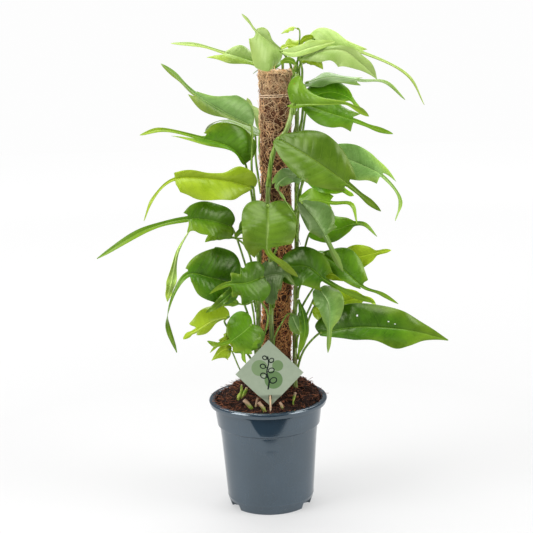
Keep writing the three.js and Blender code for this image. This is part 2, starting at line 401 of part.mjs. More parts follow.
// One row a leaf: its stem, the height and the compass turn at which the stalk leaves it,
// the stalk's bends, the midrib, the two widest points and the outline.
const leaf = (name, tone, outline, vine, z, turn, via, rib, left, right, more = {}) => (
  { name, tone, outline, vine, z, turn, via, rib, left, right, ...more });
const small = { fine: false };
const LEAVES = [
  // Crown
  leaf('leaf_01_crown_tall', 'pale', 'full/late', 'vine_back_right', 668, -60,
    [[50, 2, 700], [41, -14, 716]],
    [[38, -20, 721], [19, -40, 735], [-2, -56, 753], [-11, -62, 766], [-21, -65, 777]],
    [-7, -66, 703], [23, -34, 746], { strap: 2, leftPoint: [1.05, 0.4], rightPoint: [0.98, 0.3] }),
  leaf('leaf_02_crown_left', 'pale', 'tongue/oval', 'vine_back_left', 650, 14, [[20, 23, 702]],
    [[12, -14, 700], [-17, -32, 711], [-50, -38, 722], [-87, -43, 734], [-127, -48, 738]],
    [-48, -52, 706], [-12, -14, 727], { strap: 3, leftPoint: [1.3, 0.9], rightPoint: [0.96, 0.2] }),
  leaf('leaf_03_crown_back', 'deep', 'drip', 'vine_back_right', 672, 175, [],
    [[38, 27, 704], [24, 46, 704], [8, 60, 698], [0, 66, 692], [-8, 70, 686]],
    [12, 38, 694], [42, 62, 706], small),
  leaf('leaf_04_crown_young', 'lime', 'drip', 'vine_back_right', 672, 40, [[66, 16, 716]],
    [[68, 0, 727], [54, -3, 730], [44, -6, 729], [39, -9, 727], [35, -11, 724]],
    [52, -10, 720], [52, 8, 739], small),
  leaf('leaf_05_crown_arch', 'pale', 'fall/taper', 'vine_back_right', 640, 0, [[64, 9, 698]],
    [[68, -17, 706], [110, -30, 727], [161, -38, 714], [223, -47, 680], [246, -52, 637]],
    [98, -12, 753], [113, -50, 716], { strap: 3, leftPoint: [1, 0.25] }),
  leaf('leaf_06_crown_front', 'lime', 'trowel/wavy', 'vine_front', 650, -10, [[66, -41, 692]],
    [[63, -48, 711], [93, -62, 720], [126, -73, 720], [152, -78, 700], [173, -80, 678]],
    [128, -70, 730], [115, -77, 698]),
  leaf('leaf_07_high_right', 'grey', 'key', 'vine_right', 600, 20, [[70, 1, 650]],
    [[73, 0, 672], [106, -10, 680], [157, -20, 674], [191, -26, 671], [220, -32, 644]],
    [117, 4, 685], [130, -26, 667], small),
  leaf('leaf_08_high_right_back', 'deep', 'drip', 'vine_right', 566, -30, [[70, -12, 625]],
    [[75, -12, 650], [108, -14, 658], [138, -18, 648], [147, -20, 638], [156, -22, 627]],
    [114, 2, 678], [104, -24, 640], small),
  leaf('leaf_09_high_front', 'bright', 'spade', 'vine_front', 628, -60, [],
    [[51, -54, 644], [90, -78, 644], [127, -90, 643], [144, -92, 636], [160, -90, 625]],
    [59, -52, 685], [64, -60, 638], { wave: 1, bow: 0.16 }),
  leaf('leaf_10_upper_right', 'mid', 'key/full', 'vine_right', 556, -85, [[64, -26, 616]],
    [[68, -36, 642], [105, -52, 629], [144, -58, 616], [171, -60, 605], [198, -62, 596]],
    [122, -38, 642], [97, -58, 610], { leftPoint: [1.03, 0.6], rightPoint: [0.96, 0.78] }),
  // Left side, from the top down
  leaf('leaf_11_upper_left', 'grey', 'late/fall', 'vine_left', 476, -155, [[-14, -34, 545]],
    [[-13, -32, 612], [-52, -48, 635], [-97, -58, 666], [-119, -61, 689], [-142, -62, 709]],
    [-83, -62, 639], [-30, -30, 658], { leftPoint: [1.06, 0.55], rightPoint: [0.96, 0.14] }),
  leaf('leaf_12_behind_pole', 'pale', 'drip', 'vine_back_left', 530, 125, [[-2, 38, 575]],
    [[0, 42, 602], [-6, 56, 619], [-13, 68, 636], [-16, 72, 642], [-19, 76, 648]],
    [-12, 56, 625], [4, 62, 626], small),
  leaf('leaf_13_left_long_tip', 'mid', 'tongue/key', 'vine_left', 440, 180, [[-15, -24, 500]],
    [[-24, -26, 555], [-43, -42, 580], [-90, -52, 598], [-148, -56, 612], [-179, -56, 605]],
    [-82, -57, 586], [-18, -28, 604],
    { strap: 3.2, leftPoint: [1.34, 0.7], rightPoint: [0.96, 0.24] }),
  leaf('leaf_14_left_lime', 'lime', 'wide/saddle', 'vine_left', 410, -120, [[-12, -36, 480]],
    [[-13, -42, 520], [-72, -64, 537], [-132, -78, 539], [-162, -80, 512], [-177, -80, 479]],
    [-83, -84, 508], [-36, -52, 555],
    { strap: 2.4, wave: 5, leftPoint: [0.94, 0.64], rightPoint: [0.95, 0.36] }),
  leaf('leaf_15_left_strap', 'mid', 'key', 'vine_left', 330, 190, [[-30, -36, 405]],
    [[-48, -48, 462], [-83, -66, 476], [-117, -77, 479], [-175, -88, 467], [-248, -95, 427]],
    [-84, -80, 454], [-84, -54, 503],
    { strap: 4.6, leftPoint: [1, 0.84], rightPoint: [0.99, 0.36] }),
  leaf('leaf_16_hanging_left', 'pale', 'droplet', 'vine_left', 360, 160, [[-32, -16, 430]],
    [[-113, -10, 453], [-133, -22, 420], [-143, -34, 378], [-148, -38, 360], [-151, -42, 346]],
    [-148, -36, 379], [-137, -32, 378], small),
  leaf('leaf_17_left_folded', 'deep', 'taper', 'vine_left', 270, -135, [[-30, -36, 330]],
    [[-44, -50, 372], [-79, -74, 388], [-116, -86, 396], [-148, -92, 332], [-136, -92, 278]],
    [-71, -84, 350], [-74, -56, 434], { strap: 4.4, rightPoint: [0.97, 0.2] }),
  leaf('leaf_18_left_inner', 'deep', 'drip', 'vine_left', 380, -90, [[-8, -40, 425]],
    [[-10, -44, 453], [-24, -51, 457], [-34, -55, 455], [-39, -57, 451], [-43, -58, 446]],
    [-25, -57, 440], [-26, -46, 475], small),
  // Front and right side, from the top down
  leaf('leaf_19_front_heart', 'bright', 'broad', 'vine_front', 430, -90, [[10, -50, 475]],
    [[9, -70, 496], [8, -96, 469], [7, -106, 432], [27, -110, 414], [50, -108, 393]],
    [50, -88, 464], [-31, -88, 470],
    { strap: 4.4, leftPoint: [1.02, 0.58], rightPoint: [1, 0.56] }),
  leaf('leaf_20_front_large', 'bright', 'oval/full', 'vine_front', 520, -90, [[18, -46, 565]],
    [[27, -52, 594], [79, -84, 563], [130, -98, 525], [153, -100, 505], [175, -100, 486]],
    [99, -72, 598], [61, -92, 535], { strap: 4, leftPoint: [1.03, 0.3], rightPoint: [1, 0.3] }),
  leaf('leaf_21_front_small', 'grey', 'key', 'vine_right', 476, -100, [[55, -36, 518]],
    [[57, -50, 534], [38, -64, 537], [23, -73, 525], [35, -82, 504], [49, -91, 482]],
    [32, -74, 518], [34, -60, 550], small),
  leaf('leaf_22_right_far', 'bright', 'oval/taper', 'vine_right', 500, -15, [[76, -18, 548]],
    [[94, -22, 572], [143, -38, 553], [185, -48, 530], [209, -54, 495], [201, -56, 464]],
    [145, -30, 578], [143, -46, 522],
    { strap: 2.6, leftPoint: [1.2, 0.34], rightPoint: [0.98, 0.5] }),
  leaf('leaf_23_right_under', 'deep', 'drip', 'vine_right', 486, -55, [[64, -31, 530]],
    [[70, -41, 545], [101, -56, 527], [122, -64, 515], [131, -66, 509], [138, -67, 506]],
    [116, -50, 536], [95, -64, 508], small),
  leaf('leaf_24_right_pale', 'bright', 'key', 'vine_right', 430, -90, [[55, -32, 470]],
    [[59, -46, 494], [82, -56, 499], [107, -62, 495], [134, -66, 493], [142, -68, 464]],
    [81, -46, 516], [84, -62, 485], { ...small, strap: 3 }),
  leaf('leaf_25_right_grey', 'grey', 'oval/full', 'vine_front', 396, -45, [[40, -52, 462]],
    [[59, -60, 498], [80, -84, 472], [93, -98, 450], [104, -108, 426], [117, -112, 399]],
    [104, -78, 487], [57, -74, 473], { strap: 4, leftPoint: [0.9, 0.75], rightPoint: [0.98, 0.4] }),
  leaf('leaf_26_right_dark', 'mid', 'drip', 'vine_right', 370, -20, [[64, -18, 418]],
    [[74, -26, 446], [111, -32, 449], [138, -38, 458], [155, -42, 458], [174, -46, 439]],
    [117, -18, 471], [99, -38, 431], small),
  leaf('leaf_27_right_drooping', 'mid', 'oval/full', 'vine_right', 340, -50, [[70, -38, 390]],
    [[89, -52, 416], [118, -68, 396], [150, -76, 367], [175, -77, 357], [202, -78, 340]],
    [133, -60, 422], [106, -72, 388],
    { strap: 2.6, leftPoint: [1, 0.42], rightPoint: [0.98, 0.3] }),
  leaf('leaf_28_right_lime', 'lime', 'drip', 'vine_right', 300, 20, [[84, -6, 362]],
    [[120, -2, 392], [150, -13, 402], [174, -19, 408], [186, -22, 411], [198, -24, 413]],
    [144, -4, 419], [152, -20, 384], small),
  leaf('leaf_29_centre_right', 'deep', 'key', 'vine_front', 330, -45, [[24, -42, 370]],
    [[31, -46, 397], [67, -68, 399], [94, -84, 380], [128, -92, 362], [165, -96, 347]],
    [71, -58, 427], [56, -78, 370], { strap: 4 }),
  leaf('leaf_30_right_hanging', 'grey', 'drip', 'vine_right', 260, -60, [[68, -44, 328]],
    [[84, -66, 364], [96, -84, 344], [96, -94, 312], [95, -96, 292], [93, -94, 271]],
    [120, -80, 346], [74, -80, 348]),
  leaf('leaf_31_right_low_lime', 'lime', 'drip', 'vine_right', 240, -10, [[64, -19, 295]],
    [[78, -24, 328], [119, -44, 338], [149, -54, 345], [161, -58, 343], [170, -60, 335]],
    [124, -38, 360], [107, -50, 306], small),
  leaf('leaf_32_right_long', 'deep', 'lance/wavy', 'vine_right', 214, -50, [[60, -34, 262]],
    [[83, -52, 291], [137, -84, 307], [199, -98, 306], [236, -100, 299], [274, -102, 287]],
    [165, -76, 342], [200, -104, 279], { wave: 4 }),
  leaf('leaf_33_hanging_right', 'deep', 'narrow', 'vine_right', 280, -95, [[48, -38, 328]],
    [[52, -54, 345], [58, -62, 323], [60, -64, 300], [56, -63, 279], [48, -61, 258]],
    [66, -62, 308], [52, -62, 308], small),
  // Low left
  leaf('leaf_34_centre_star', 'mid', 'lobed', 'vine_left', 310, -100, [[-14, -60, 370]],
    [[-3, -84, 389], [-29, -100, 384], [-54, -108, 385], [-69, -111, 380], [-82, -113, 372]],
    [-24, -106, 350], [-26, -88, 412]),
  leaf('leaf_35_centre_low', 'grey', 'lobed', 'vine_front', 320, -100, [[2, -52, 366]],
    [[-3, -62, 384], [15, -74, 391], [33, -82, 391], [40, -84, 383], [47, -86, 374]],
    [12, -64, 412], [16, -84, 348], small),
  leaf('leaf_36_left_dark_strap', 'deep', 'narrow', 'vine_left', 250, -60,
    [[4, -48, 320], [-12, -68, 356]],
    [[-28, -78, 376], [-48, -90, 369], [-61, -94, 359], [-75, -96, 348], [-89, -97, 340]],
    [-51, -93, 360], [-46, -87, 378], small),
  leaf('leaf_37_low_left', 'lime', 'late/key', 'vine_left', 225, 190,
    [[-50, -30, 285], [-64, -42, 312]],
    [[-56, -54, 322], [-81, -78, 322], [-107, -90, 310], [-115, -94, 307], [-125, -97, 300]],
    [-88, -90, 308], [-92, -66, 341],
    { ...small, leftPoint: [1.08, 0.6], rightPoint: [1.06, 0.6] }),
  leaf('leaf_38_low_heart', 'bright', 'heart', 'vine_left', 215, -90, [[-19, -43, 275]],
    [[-21, -50, 308], [-38, -60, 296], [-57, -68, 286], [-77, -72, 283], [-90, -75, 290]],
    [-14, -56, 270], [-50, -40, 322], { leftPoint: [1.02, 0.5] }),
  // Back
  leaf('leaf_39_back_high_right', 'mid', 'key', 'vine_back_right', 560, 50, [[58, 38, 610]],
    [[64, 48, 642], [92, 74, 654], [116, 98, 646], [132, 116, 628], [142, 128, 606]],
    [68, 98, 648], [116, 54, 650], small),
  leaf('leaf_40_back_high_left', 'bright', 'key', 'vine_back_left', 500, 160, [[-8, 40, 555]],
    [[-8, 52, 590], [-34, 78, 606], [-60, 100, 612], [-78, 114, 606], [-90, 126, 594]],
    [-56, 58, 598], [-14, 98, 606], small),
  leaf('leaf_41_back_middle', 'mid', 'key', 'vine_back_right', 490, 110, [[36, 50, 535]],
    [[36, 60, 562], [46, 98, 582], [56, 132, 576], [62, 152, 558], [66, 166, 532]],
    [14, 106, 576], [80, 90, 578], small),
  leaf('leaf_42_back_right', 'deep', 'key', 'vine_back_right', 410, 50, [[54, 44, 480]],
    [[62, 52, 520], [90, 84, 540], [114, 112, 534], [130, 130, 518], [142, 142, 494]],
    [62, 106, 536], [116, 62, 538], small),
  leaf('leaf_43_back_left', 'mid', 'key', 'vine_back_left', 380, 130, [[-12, 44, 430]],
    [[0, 56, 446], [-8, 84, 462], [-14, 108, 466], [-18, 124, 458], [-22, 138, 440]],
    [-28, 70, 456], [16, 98, 462], small),
  leaf('leaf_44_back_low_right', 'mid', 'key', 'vine_back_right', 250, 60, [[50, 46, 332]],
    [[58, 56, 376], [80, 92, 392], [98, 122, 384], [110, 142, 366], [118, 156, 342]],
    [52, 110, 386], [108, 74, 388], small),
  leaf('leaf_45_back_low_left', 'bright', 'key', 'vine_back_left', 240, 130, [[-20, 46, 305]],
    [[-28, 58, 342], [-54, 86, 362], [-76, 110, 360], [-90, 128, 346], [-100, 142, 322]],
    [-78, 64, 356], [-32, 108, 360], small),
];

// The newest leaf is still rolled at the top of the front stem and is one piece with it.
const shoot = {
  rib: [[63, -41, 752], [54, -43, 757], [46, -46, 754], [41, -48, 751], [36, -50, 747]],
  left: [54, -49, 752], right: [54, -38, 755],
};

const stemSolid = (name, grow, points = VINES[name]) =>
  toSolid(rod(points, VINE_R + grow, 8, points.length > 8 ? 24 : 15));
for (const [name, points] of Object.entries(VINES)) {
  let stem = stemSolid(name, 0, points);
  if (name === 'vine_front') {
    const top = leafGeometry({
      ...shoot, vine: 'vine_front', z: 668, turn: 90, via: [[60, -41, 712]],
      outline: 'narrow', fine: false, wave: 1, grown: true,
    });
    stem = stem.add(toSolid(top));
  }
  add(name, toGeometry(stem), 0x8fb45a, 0.5);
}
for (const spec of LEAVES) add(spec.name, leafGeometry(spec), GREEN[spec.tone], 0.35);

// Cut ends of cuttings that stand beside the stems.
const STUBS = {
  stub_left: [-43, -40, 197, 4.2], stub_middle: [-10, -62, 186, 4.6], stub_right: [43, -52, 194, 4.4],
};
const stubSolid = ([x, y, top, r], grow) => toSolid(
  new THREE.CylinderGeometry(r + grow, r + grow, top - 150 + 2 * grow, 10)
    .rotateX(Math.PI / 2).translate(x, y, (top + 150) / 2));
for (const [name, stub] of Object.entries(STUBS)) {
  add(name, toGeometry(stubSolid(stub, 0)), 0xa9b26a, 0.7);
}

// Card: a square on its corner, leaning back with its stick. The stick stands behind it and
// comes forward through a slit near the bottom corner, where the paper bends back past it.
const cardTurn = new THREE.Euler(THREE.MathUtils.degToRad(-CARD_LEAN), 0, 0);
const SLIT = { w: 4.6, h: 8, z: -38 };   // its middle is down from the card's middle
const BEND_BACK = 4.9;
{
  const reach = CARD * Math.SQRT1_2;
  const rows = [-reach + 0.4, -47, -44, -41.5, -39, -37, -35, -33, -20, 0, reach - 0.4];
  const rings = rows.map((z) => {
    const x = reach - Math.abs(z);
    const y = BEND_BACK * THREE.MathUtils.smoothstep(-z, 33, 42);
    return [[-x, y], [x, y], [x, y - CARD_T], [-x, y - CARD_T]]
      .map(([px, py]) => new THREE.Vector3(px, py, z));
  });
  const slit = new THREE.BoxGeometry(SLIT.w, 20, SLIT.h).translate(0, 0, SLIT.z);
  const card = toSolid(skin(rings, () => true)).subtract(toSolid(slit));
  const mesh = add('plant_card', toGeometry(card), 0xb9c8ae, 0.75);
  mesh.position.set(...CARD_MID);
  mesh.rotation.copy(cardTurn);
}
const stickSolid = (grow) => {
  const stick = new THREE.CylinderGeometry(STICK_R + grow, STICK_R + grow, 128 + 2 * grow, 8)
    .rotateX(Math.PI / 2).translate(0, STICK_R + 0.9, -30);
  stick.applyMatrix4(new THREE.Matrix4().compose(
    vec(CARD_MID), new THREE.Quaternion().setFromEuler(cardTurn), new THREE.Vector3(1, 1, 1)));
  return toSolid(stick);
};
add('card_stick', toGeometry(stickSolid(0)), 0xcaa06c, 0.7);

// Soil: fills the pot, domed towards the pole, with a plain hole for all that stands in it.
{
  const g = SOIL_GAP;
  const outline = [[0, SOIL_BOTTOM], [FOOT_R - 2.4, SOIL_BOTTOM], [BODY_FOOT_R - WALL - g - 0.6, 14],
    [BODY_TOP_R - WALL - g - 0.2, STEP_Z - 3.2], [COLLAR_FOOT_R - WALL - g - 0.3, STEP_Z + 1.2],
    [83.1, SOIL_EDGE_Z - 9], ...[83.4, 75, 62, 46, 24, 0].map((r) => [r, SOIL_EDGE_Z])]
    .map(([r, z]) => new THREE.Vector2(r, z));
  const turned = new THREE.LatheGeometry(outline, POT_SIDES).rotateX(Math.PI / 2);
  const p = turned.attributes.position;
  for (let i = 0; i < p.count; i++) {
    if (p.getZ(i) < SOIL_EDGE_Z - 0.5) continue;
    const [x, y] = [p.getX(i), p.getY(i)];
    const r = Math.hypot(x, y) / SOIL_R;
    const lean = (SOIL_TILT[0] * x + SOIL_TILT[1] * y) / SOIL_R;
    const lumps = 1.2 * Math.sin(x * 0.13 + 1) * Math.cos(y * 0.15);
    p.setZ(i, SOIL_EDGE_Z + SOIL_DOME * (1 - r ** 4) + lean + lumps);
  }
  let soil = toSolid(turned);
  for (const name of Object.keys(VINES)) {
    const [[x, y, low], high] = VINES[name];
    soil = soil.subtract(toSolid(rod([[x, y, low - g], high], VINE_R + 2 * g, 8, 1)));
  }
  for (const stub of Object.values(STUBS)) soil = soil.subtract(stubSolid(stub, g));
  soil = soil.subtract(toSolid(poleSkin(1, 0, 225))).subtract(stickSolid(g));
  add('soil', toGeometry(soil), 0x3b2a20, 1);
}

export default group;
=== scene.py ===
# %% [markdown]
# # A skeleton key pothos on a coir pole, in its nursery pot
#
# This lesson dresses a plant that was first built as plain solids. Every stem, leaf, the pot,
# the soil and the pole is already there at its real size, and here each one gets the surface
# that the real one has. The plant stands with the middle of its pot's base at the origin, Z is
# up, and the front looks along -Y. The tables of the plant's places are in millimetres, as a
# grower would measure them, and MM turns them into Blender's metres.

# %% Load the frame
import math
import random

import bmesh
import bpy
import numpy as np
from mathutils import Matrix, Vector, noise


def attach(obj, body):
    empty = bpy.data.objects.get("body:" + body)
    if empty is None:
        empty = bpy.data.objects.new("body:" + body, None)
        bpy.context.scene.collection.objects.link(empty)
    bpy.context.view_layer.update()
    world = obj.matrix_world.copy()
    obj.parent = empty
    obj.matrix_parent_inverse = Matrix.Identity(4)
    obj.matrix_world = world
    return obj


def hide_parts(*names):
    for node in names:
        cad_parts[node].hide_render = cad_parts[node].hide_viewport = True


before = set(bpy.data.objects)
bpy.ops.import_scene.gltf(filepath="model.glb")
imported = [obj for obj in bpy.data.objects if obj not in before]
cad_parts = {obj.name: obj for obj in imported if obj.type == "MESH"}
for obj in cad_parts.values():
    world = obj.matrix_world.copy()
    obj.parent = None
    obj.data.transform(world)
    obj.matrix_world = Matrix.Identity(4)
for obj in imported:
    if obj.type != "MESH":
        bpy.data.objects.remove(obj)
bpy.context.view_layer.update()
MM = 0.001
print("nodes in the frame:", len(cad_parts))

# %% [markdown]
# ## Camera
#
# The picture is taken from a little above the top of the plant, 1.8 m away, with a lens long
# enough to keep the pot's sides nearly upright. The picture leans by under two degrees, so the
# camera is rolled by the same angle instead of leaning the plant.

# %% Camera
CAMERA_PLACE = (0.0039, -1.8, 0.748)
CAMERA_PITCH = 11.3
CAMERA_ROLL = -1.74
FOCAL_PIXELS = 1166
PICTURE_PIXELS = 533

camera_data = bpy.data.cameras.new("camera")
camera_data.sensor_width = 36
camera_data.lens = camera_data.sensor_width * FOCAL_PIXELS / PICTURE_PIXELS
camera = bpy.data.objects.new("camera", camera_data)
bpy.context.scene.collection.objects.link(camera)
camera.matrix_world = (
    Matrix.Translation(CAMERA_PLACE)
    @ Matrix.Rotation(math.radians(90 - CAMERA_PITCH), 4, "X")
    @ Matrix.Rotation(math.radians(CAMERA_ROLL), 4, "Z")
)
bpy.context.scene.camera = camera
print("lens:", round(camera_data.lens, 2), "mm")

# %% [markdown]
# ## Light
#
# A plant for a catalogue stands in a white corner of a dim room. Broad soft boxes at the left,
# the right, above and behind give the light, and the pale floor throws it back from below. A
# world that is white all round would be simpler, but then every leaf reflects white and loses
# its green. So the room itself is dim, and only the view past the plant is white.

# %% Soft boxes
SOFT_BOXES = {
    "box_left": ((-1.9, -0.9, 1.5), (1.2, 1.8), 42),
    "box_right": ((1.9, -0.8, 1.4), (1.2, 1.8), 34),
    "box_top": ((-0.2, -0.1, 2.7), (1.8, 1.8), 44),
    "box_back": ((0.0, 1.9, 2.4), (3.2, 1.6), 50),
}
AIM = Vector((0, 0, 0.42))

for box_name, (place, size, power) in SOFT_BOXES.items():
    lamp = bpy.data.lights.new(box_name, "AREA")
    lamp.shape = "RECTANGLE"
    lamp.size, lamp.size_y = size
    lamp.energy = power
    lamp_object = bpy.data.objects.new(box_name, lamp)
    facing = (AIM - Vector(place)).to_track_quat("-Z", "Y")
    lamp_object.matrix_world = Matrix.Translation(place) @ facing.to_matrix().to_4x4()
    lamp_object.visible_camera = False
    bpy.context.scene.collection.objects.link(lamp_object)
print("soft boxes:", len(SOFT_BOXES))

# %% Room
ROOM_LIGHT = 0.3
WHITE_VIEW = 0.985
world = bpy.data.worlds.new("studio")
bpy.context.scene.world = world
bpy.context.scene.view_settings.view_transform = "Standard"
world.use_nodes = True
sky = world.node_tree
background = sky.nodes["Background"]
background.inputs["Color"].default_value = (1, 1, 1, 1)
seen_straight = sky.nodes.new("ShaderNodeLightPath").outputs["Is Camera Ray"]
strength = sky.nodes.new("ShaderNodeMapRange")
sky.links.new(seen_straight, strength.inputs["Value"])
strength.inputs["To Min"].default_value = ROOM_LIGHT
strength.inputs["To Max"].default_value = WHITE_VIEW
sky.links.new(strength.outputs["Result"], background.inputs["Strength"])
print("room light:", ROOM_LIGHT, "and past the plant", WHITE_VIEW)

# %% [markdown]
# ## Floor
#
# The floor is one wide sheet. It glows, by FLOOR_GLOW within and beyond GLOW_REACH, in metres
# from the pot, so that the plant's soft shadow still shows on it and no horizon does. In front
# of the pot lies a dark card: the picture doesn't show it, but the glossy pot reflects it as a
# dark patch between its bright sides.

# %% Floor
FLOOR_HALF, FLOOR_GREY = 6, 0.3
FLOOR_GLOW = (0.45, 0.87)
GLOW_REACH = (0.7, 3.9)
DARK_CARD_HALF, DARK_CARD_PLACE, DARK_CARD_GREY = (0.9, 0.5), (0, -0.772, 0.004), 0.01


def studio_sheet(name, half, place, grey, roughness):
    """A flat grey sheet of the studio, which isn't part of the plant."""
    bm = bmesh.new()
    bmesh.ops.create_grid(bm, x_segments=1, y_segments=1, size=1)
    bmesh.ops.scale(bm, verts=bm.verts, vec=(*half, 1))
    bmesh.ops.translate(bm, verts=bm.verts, vec=place)
    data = bpy.data.meshes.new(name)
    bm.to_mesh(data)
    bm.free()
    sheet = bpy.data.objects.new(name, data)
    bpy.context.scene.collection.objects.link(sheet)
    paint = bpy.data.materials.new(name)
    paint.use_nodes = True
    shader = paint.node_tree.nodes["Principled BSDF"]
    shader.inputs["Base Color"].default_value = (grey, grey, grey, 1)
    shader.inputs["Roughness"].default_value = roughness
    data.materials.append(paint)
    return sheet, paint.node_tree, shader


_, tree, shader = studio_sheet("floor", (FLOOR_HALF, FLOOR_HALF), (0, 0, 0), FLOOR_GREY, 0.8)
where = tree.nodes.new("ShaderNodeTexCoord").outputs["Object"]
distance = tree.nodes.new("ShaderNodeVectorMath")
distance.operation = "LENGTH"
tree.links.new(where, distance.inputs[0])
glow = tree.nodes.new("ShaderNodeMapRange")
tree.links.new(distance.outputs["Value"], glow.inputs["Value"])
glow.inputs["From Min"].default_value, glow.inputs["From Max"].default_value = GLOW_REACH
glow.inputs["To Min"].default_value, glow.inputs["To Max"].default_value = FLOOR_GLOW
tree.links.new(glow.outputs["Result"], shader.inputs["Emission Strength"])
shader.inputs["Emission Color"].default_value = (1, 1, 1, 1)

dark_card = studio_sheet("dark_card", DARK_CARD_HALF, DARK_CARD_PLACE, DARK_CARD_GREY, 0.9)[0]
for way in ("camera", "diffuse", "shadow", "transmission"):
    setattr(dark_card, "visible_" + way, False)
print("floor:", 2 * FLOOR_HALF, "m wide")

# %% [markdown]
# ## Helpers for materials
#
# A finish is a tree of nodes that ends in the Principled shader. Writing the tree out link by
# link hides what it does, so `node` adds one node with its inputs, and takes either a number or
# another node's output for each of them. Colours are given as they look on a screen, and
# `seen` turns them into the linear values that the shader works with.

# %% Colours and materials
def seen(red, green, blue):
    """A colour as seen on a screen, 0 to 255, made linear."""
    parts = [c / 255 for c in (red, green, blue)]
    linear = [c / 12.92 if c <= 0.04045 else ((c + 0.055) / 1.055) ** 2.4 for c in parts]
    return (*linear, 1.0)


def new_finish(name, roughness=0.5, specular=0.5):
    """An empty Principled material: the material, its tree and its shader."""
    material = bpy.data.materials.new(name)
    material.use_nodes = True
    shader = material.node_tree.nodes["Principled BSDF"]
    shader.inputs["Roughness"].default_value = roughness
    shader.inputs["Specular IOR Level"].default_value = specular
    return material, material.node_tree, shader


print("a screen grey of 128 is", round(seen(128, 128, 128)[0], 3), "in linear light")

# %% Nodes
def node(tree, kind, inputs=None, **settings):
    """Adds a node and fills its inputs from numbers or from other nodes' outputs."""
    made = tree.nodes.new("ShaderNode" + kind)
    for key, value in settings.items():
        setattr(made, key, value)
    for key, value in (inputs or {}).items():
        if isinstance(value, bpy.types.NodeSocket):
            tree.links.new(value, made.inputs[key])
        else:
            made.inputs[key].default_value = value
    return made


def maths(tree, operation, a, b=0.0, clamp=False):
    """One Math node's result."""
    made = node(tree, "Math", {0: a, 1: b}, operation=operation, use_clamp=clamp)
    return made.outputs[0]


def ramp(tree, value, low, high, into=(0.0, 1.0)):
    """A value mapped smoothly from low..high to another range."""
    made = node(
        tree, "MapRange",
        {"Value": value, "From Min": low, "From Max": high, "To Min": into[0], "To Max": into[1]},
        interpolation_type="SMOOTHSTEP",
    )
    return made.outputs["Result"]


def blend(tree, share, a, b, mode="MIX"):
    """Two colours mixed by a share."""
    made = node(
        tree, "Mix", {"Factor": share, 6: a, 7: b}, data_type="RGBA", blend_type=mode,
    )
    return made.outputs[2]


print("node helpers ready")

# %% Patterns
def place_of(tree, scale=(1, 1, 1)):
    """Object coordinates, stretched by scale."""
    where = node(tree, "TexCoord").outputs["Object"]
    return node(tree, "Mapping", {"Vector": where, "Scale": scale}).outputs["Vector"]


def grain(tree, vector, scale, detail=4.0, rough=0.55):
    """Noise, 0 to 1."""
    made = node(
        tree, "TexNoise",
        {"Vector": vector, "Scale": scale, "Detail": detail, "Roughness": rough},
    )
    return made.outputs["Fac"]


def stored(tree, name):
    """A number that was stored with the mesh."""
    return node(tree, "Attribute", attribute_name=name).outputs["Fac"]


def two_tone(tree, shader, pattern, span, dark, light):
    """A base colour that runs from dark to light as the pattern crosses the span."""
    colour = blend(tree, ramp(tree, pattern, *span), seen(*dark), seen(*light))
    tree.links.new(colour, shader.inputs["Base Color"])


def relief(tree, shader, height, strength, distance):
    """Bump on a shader, with height in metres times distance."""
    made = node(tree, "Bump", {"Height": height, "Strength": strength, "Distance": distance})
    tree.links.new(made.outputs["Normal"], shader.inputs["Normal"])


print("pattern helpers ready")

# %% [markdown]
# ## Helpers for shapes
#
# Stems, stalks, fibres and wire are all tubes along a curve. A tube is a grid with its far edge
# brought round to its near edge: `create_grid` makes the faces, and each vertex is then carried
# to its place on a ring about the curve. The curve passes through a few given points, and its
# speed follows the square root of their distance, which keeps it from looping at a close pair.

# %% Curves
def curve_through(points):
    """A smooth curve through points: a function of t, from 0 to 1, for numbers or arrays."""
    p = np.array(points, float)
    last = len(p) - 2
    p = np.vstack([2 * p[0] - p[1], p, 2 * p[-1] - p[-2]])
    gaps = np.maximum(np.linalg.norm(np.diff(p, axis=0), axis=1), 1e-9) ** 0.5

    def at(t):
        s = np.clip(np.asarray(t, float), 0, 1) * (last + 1)
        k = np.minimum(s.astype(int), last)
        w = (s - k)[..., None]
        p0, p1, p2, p3 = (p[k + j] for j in range(4))
        d0, d1, d2 = (gaps[k + j][..., None] for j in range(3))
        m1 = ((p1 - p0) / d0 - (p2 - p0) / (d0 + d1) + (p2 - p1) / d1) * d1
        m2 = ((p2 - p1) / d1 - (p3 - p1) / (d1 + d2) + (p3 - p2) / d2) * d1
        bend = 3 * (p2 - p1) - 2 * m1 - m2
        return p1 + m1 * w + bend * w**2 + (2 * (p1 - p2) + m1 + m2) * w**3

    return at


def unit(v):
    """Vectors of length 1 along the last axis."""
    return v / np.maximum(np.linalg.norm(v, axis=-1, keepdims=True), 1e-12)


print("a quarter along a bend:", curve_through([(0, 0), (1, 0), (1, 1)])(0.25).round(3))

# %% Grids and tubes
def grid_of(places, closed=False):
    """A bmesh whose grid of vertices lies at places[i][j]; closed joins the last j to the first."""
    rows, columns = len(places), len(places[0])
    bm = bmesh.new()
    bmesh.ops.create_grid(bm, x_segments=columns - 1, y_segments=rows - 1, size=0.5)
    for vert, place in zip(bm.verts, places.reshape(-1, 3)):
        vert.co = place
    if closed:
        bmesh.ops.remove_doubles(bm, verts=bm.verts, dist=1e-7)
    return bm


def closed_up(bm):
    """The bmesh with its open ends filled and its faces turned outwards."""
    bmesh.ops.holes_fill(bm, edges=[e for e in bm.edges if e.is_boundary], sides=0)
    bmesh.ops.recalc_face_normals(bm, faces=bm.faces)
    return bm


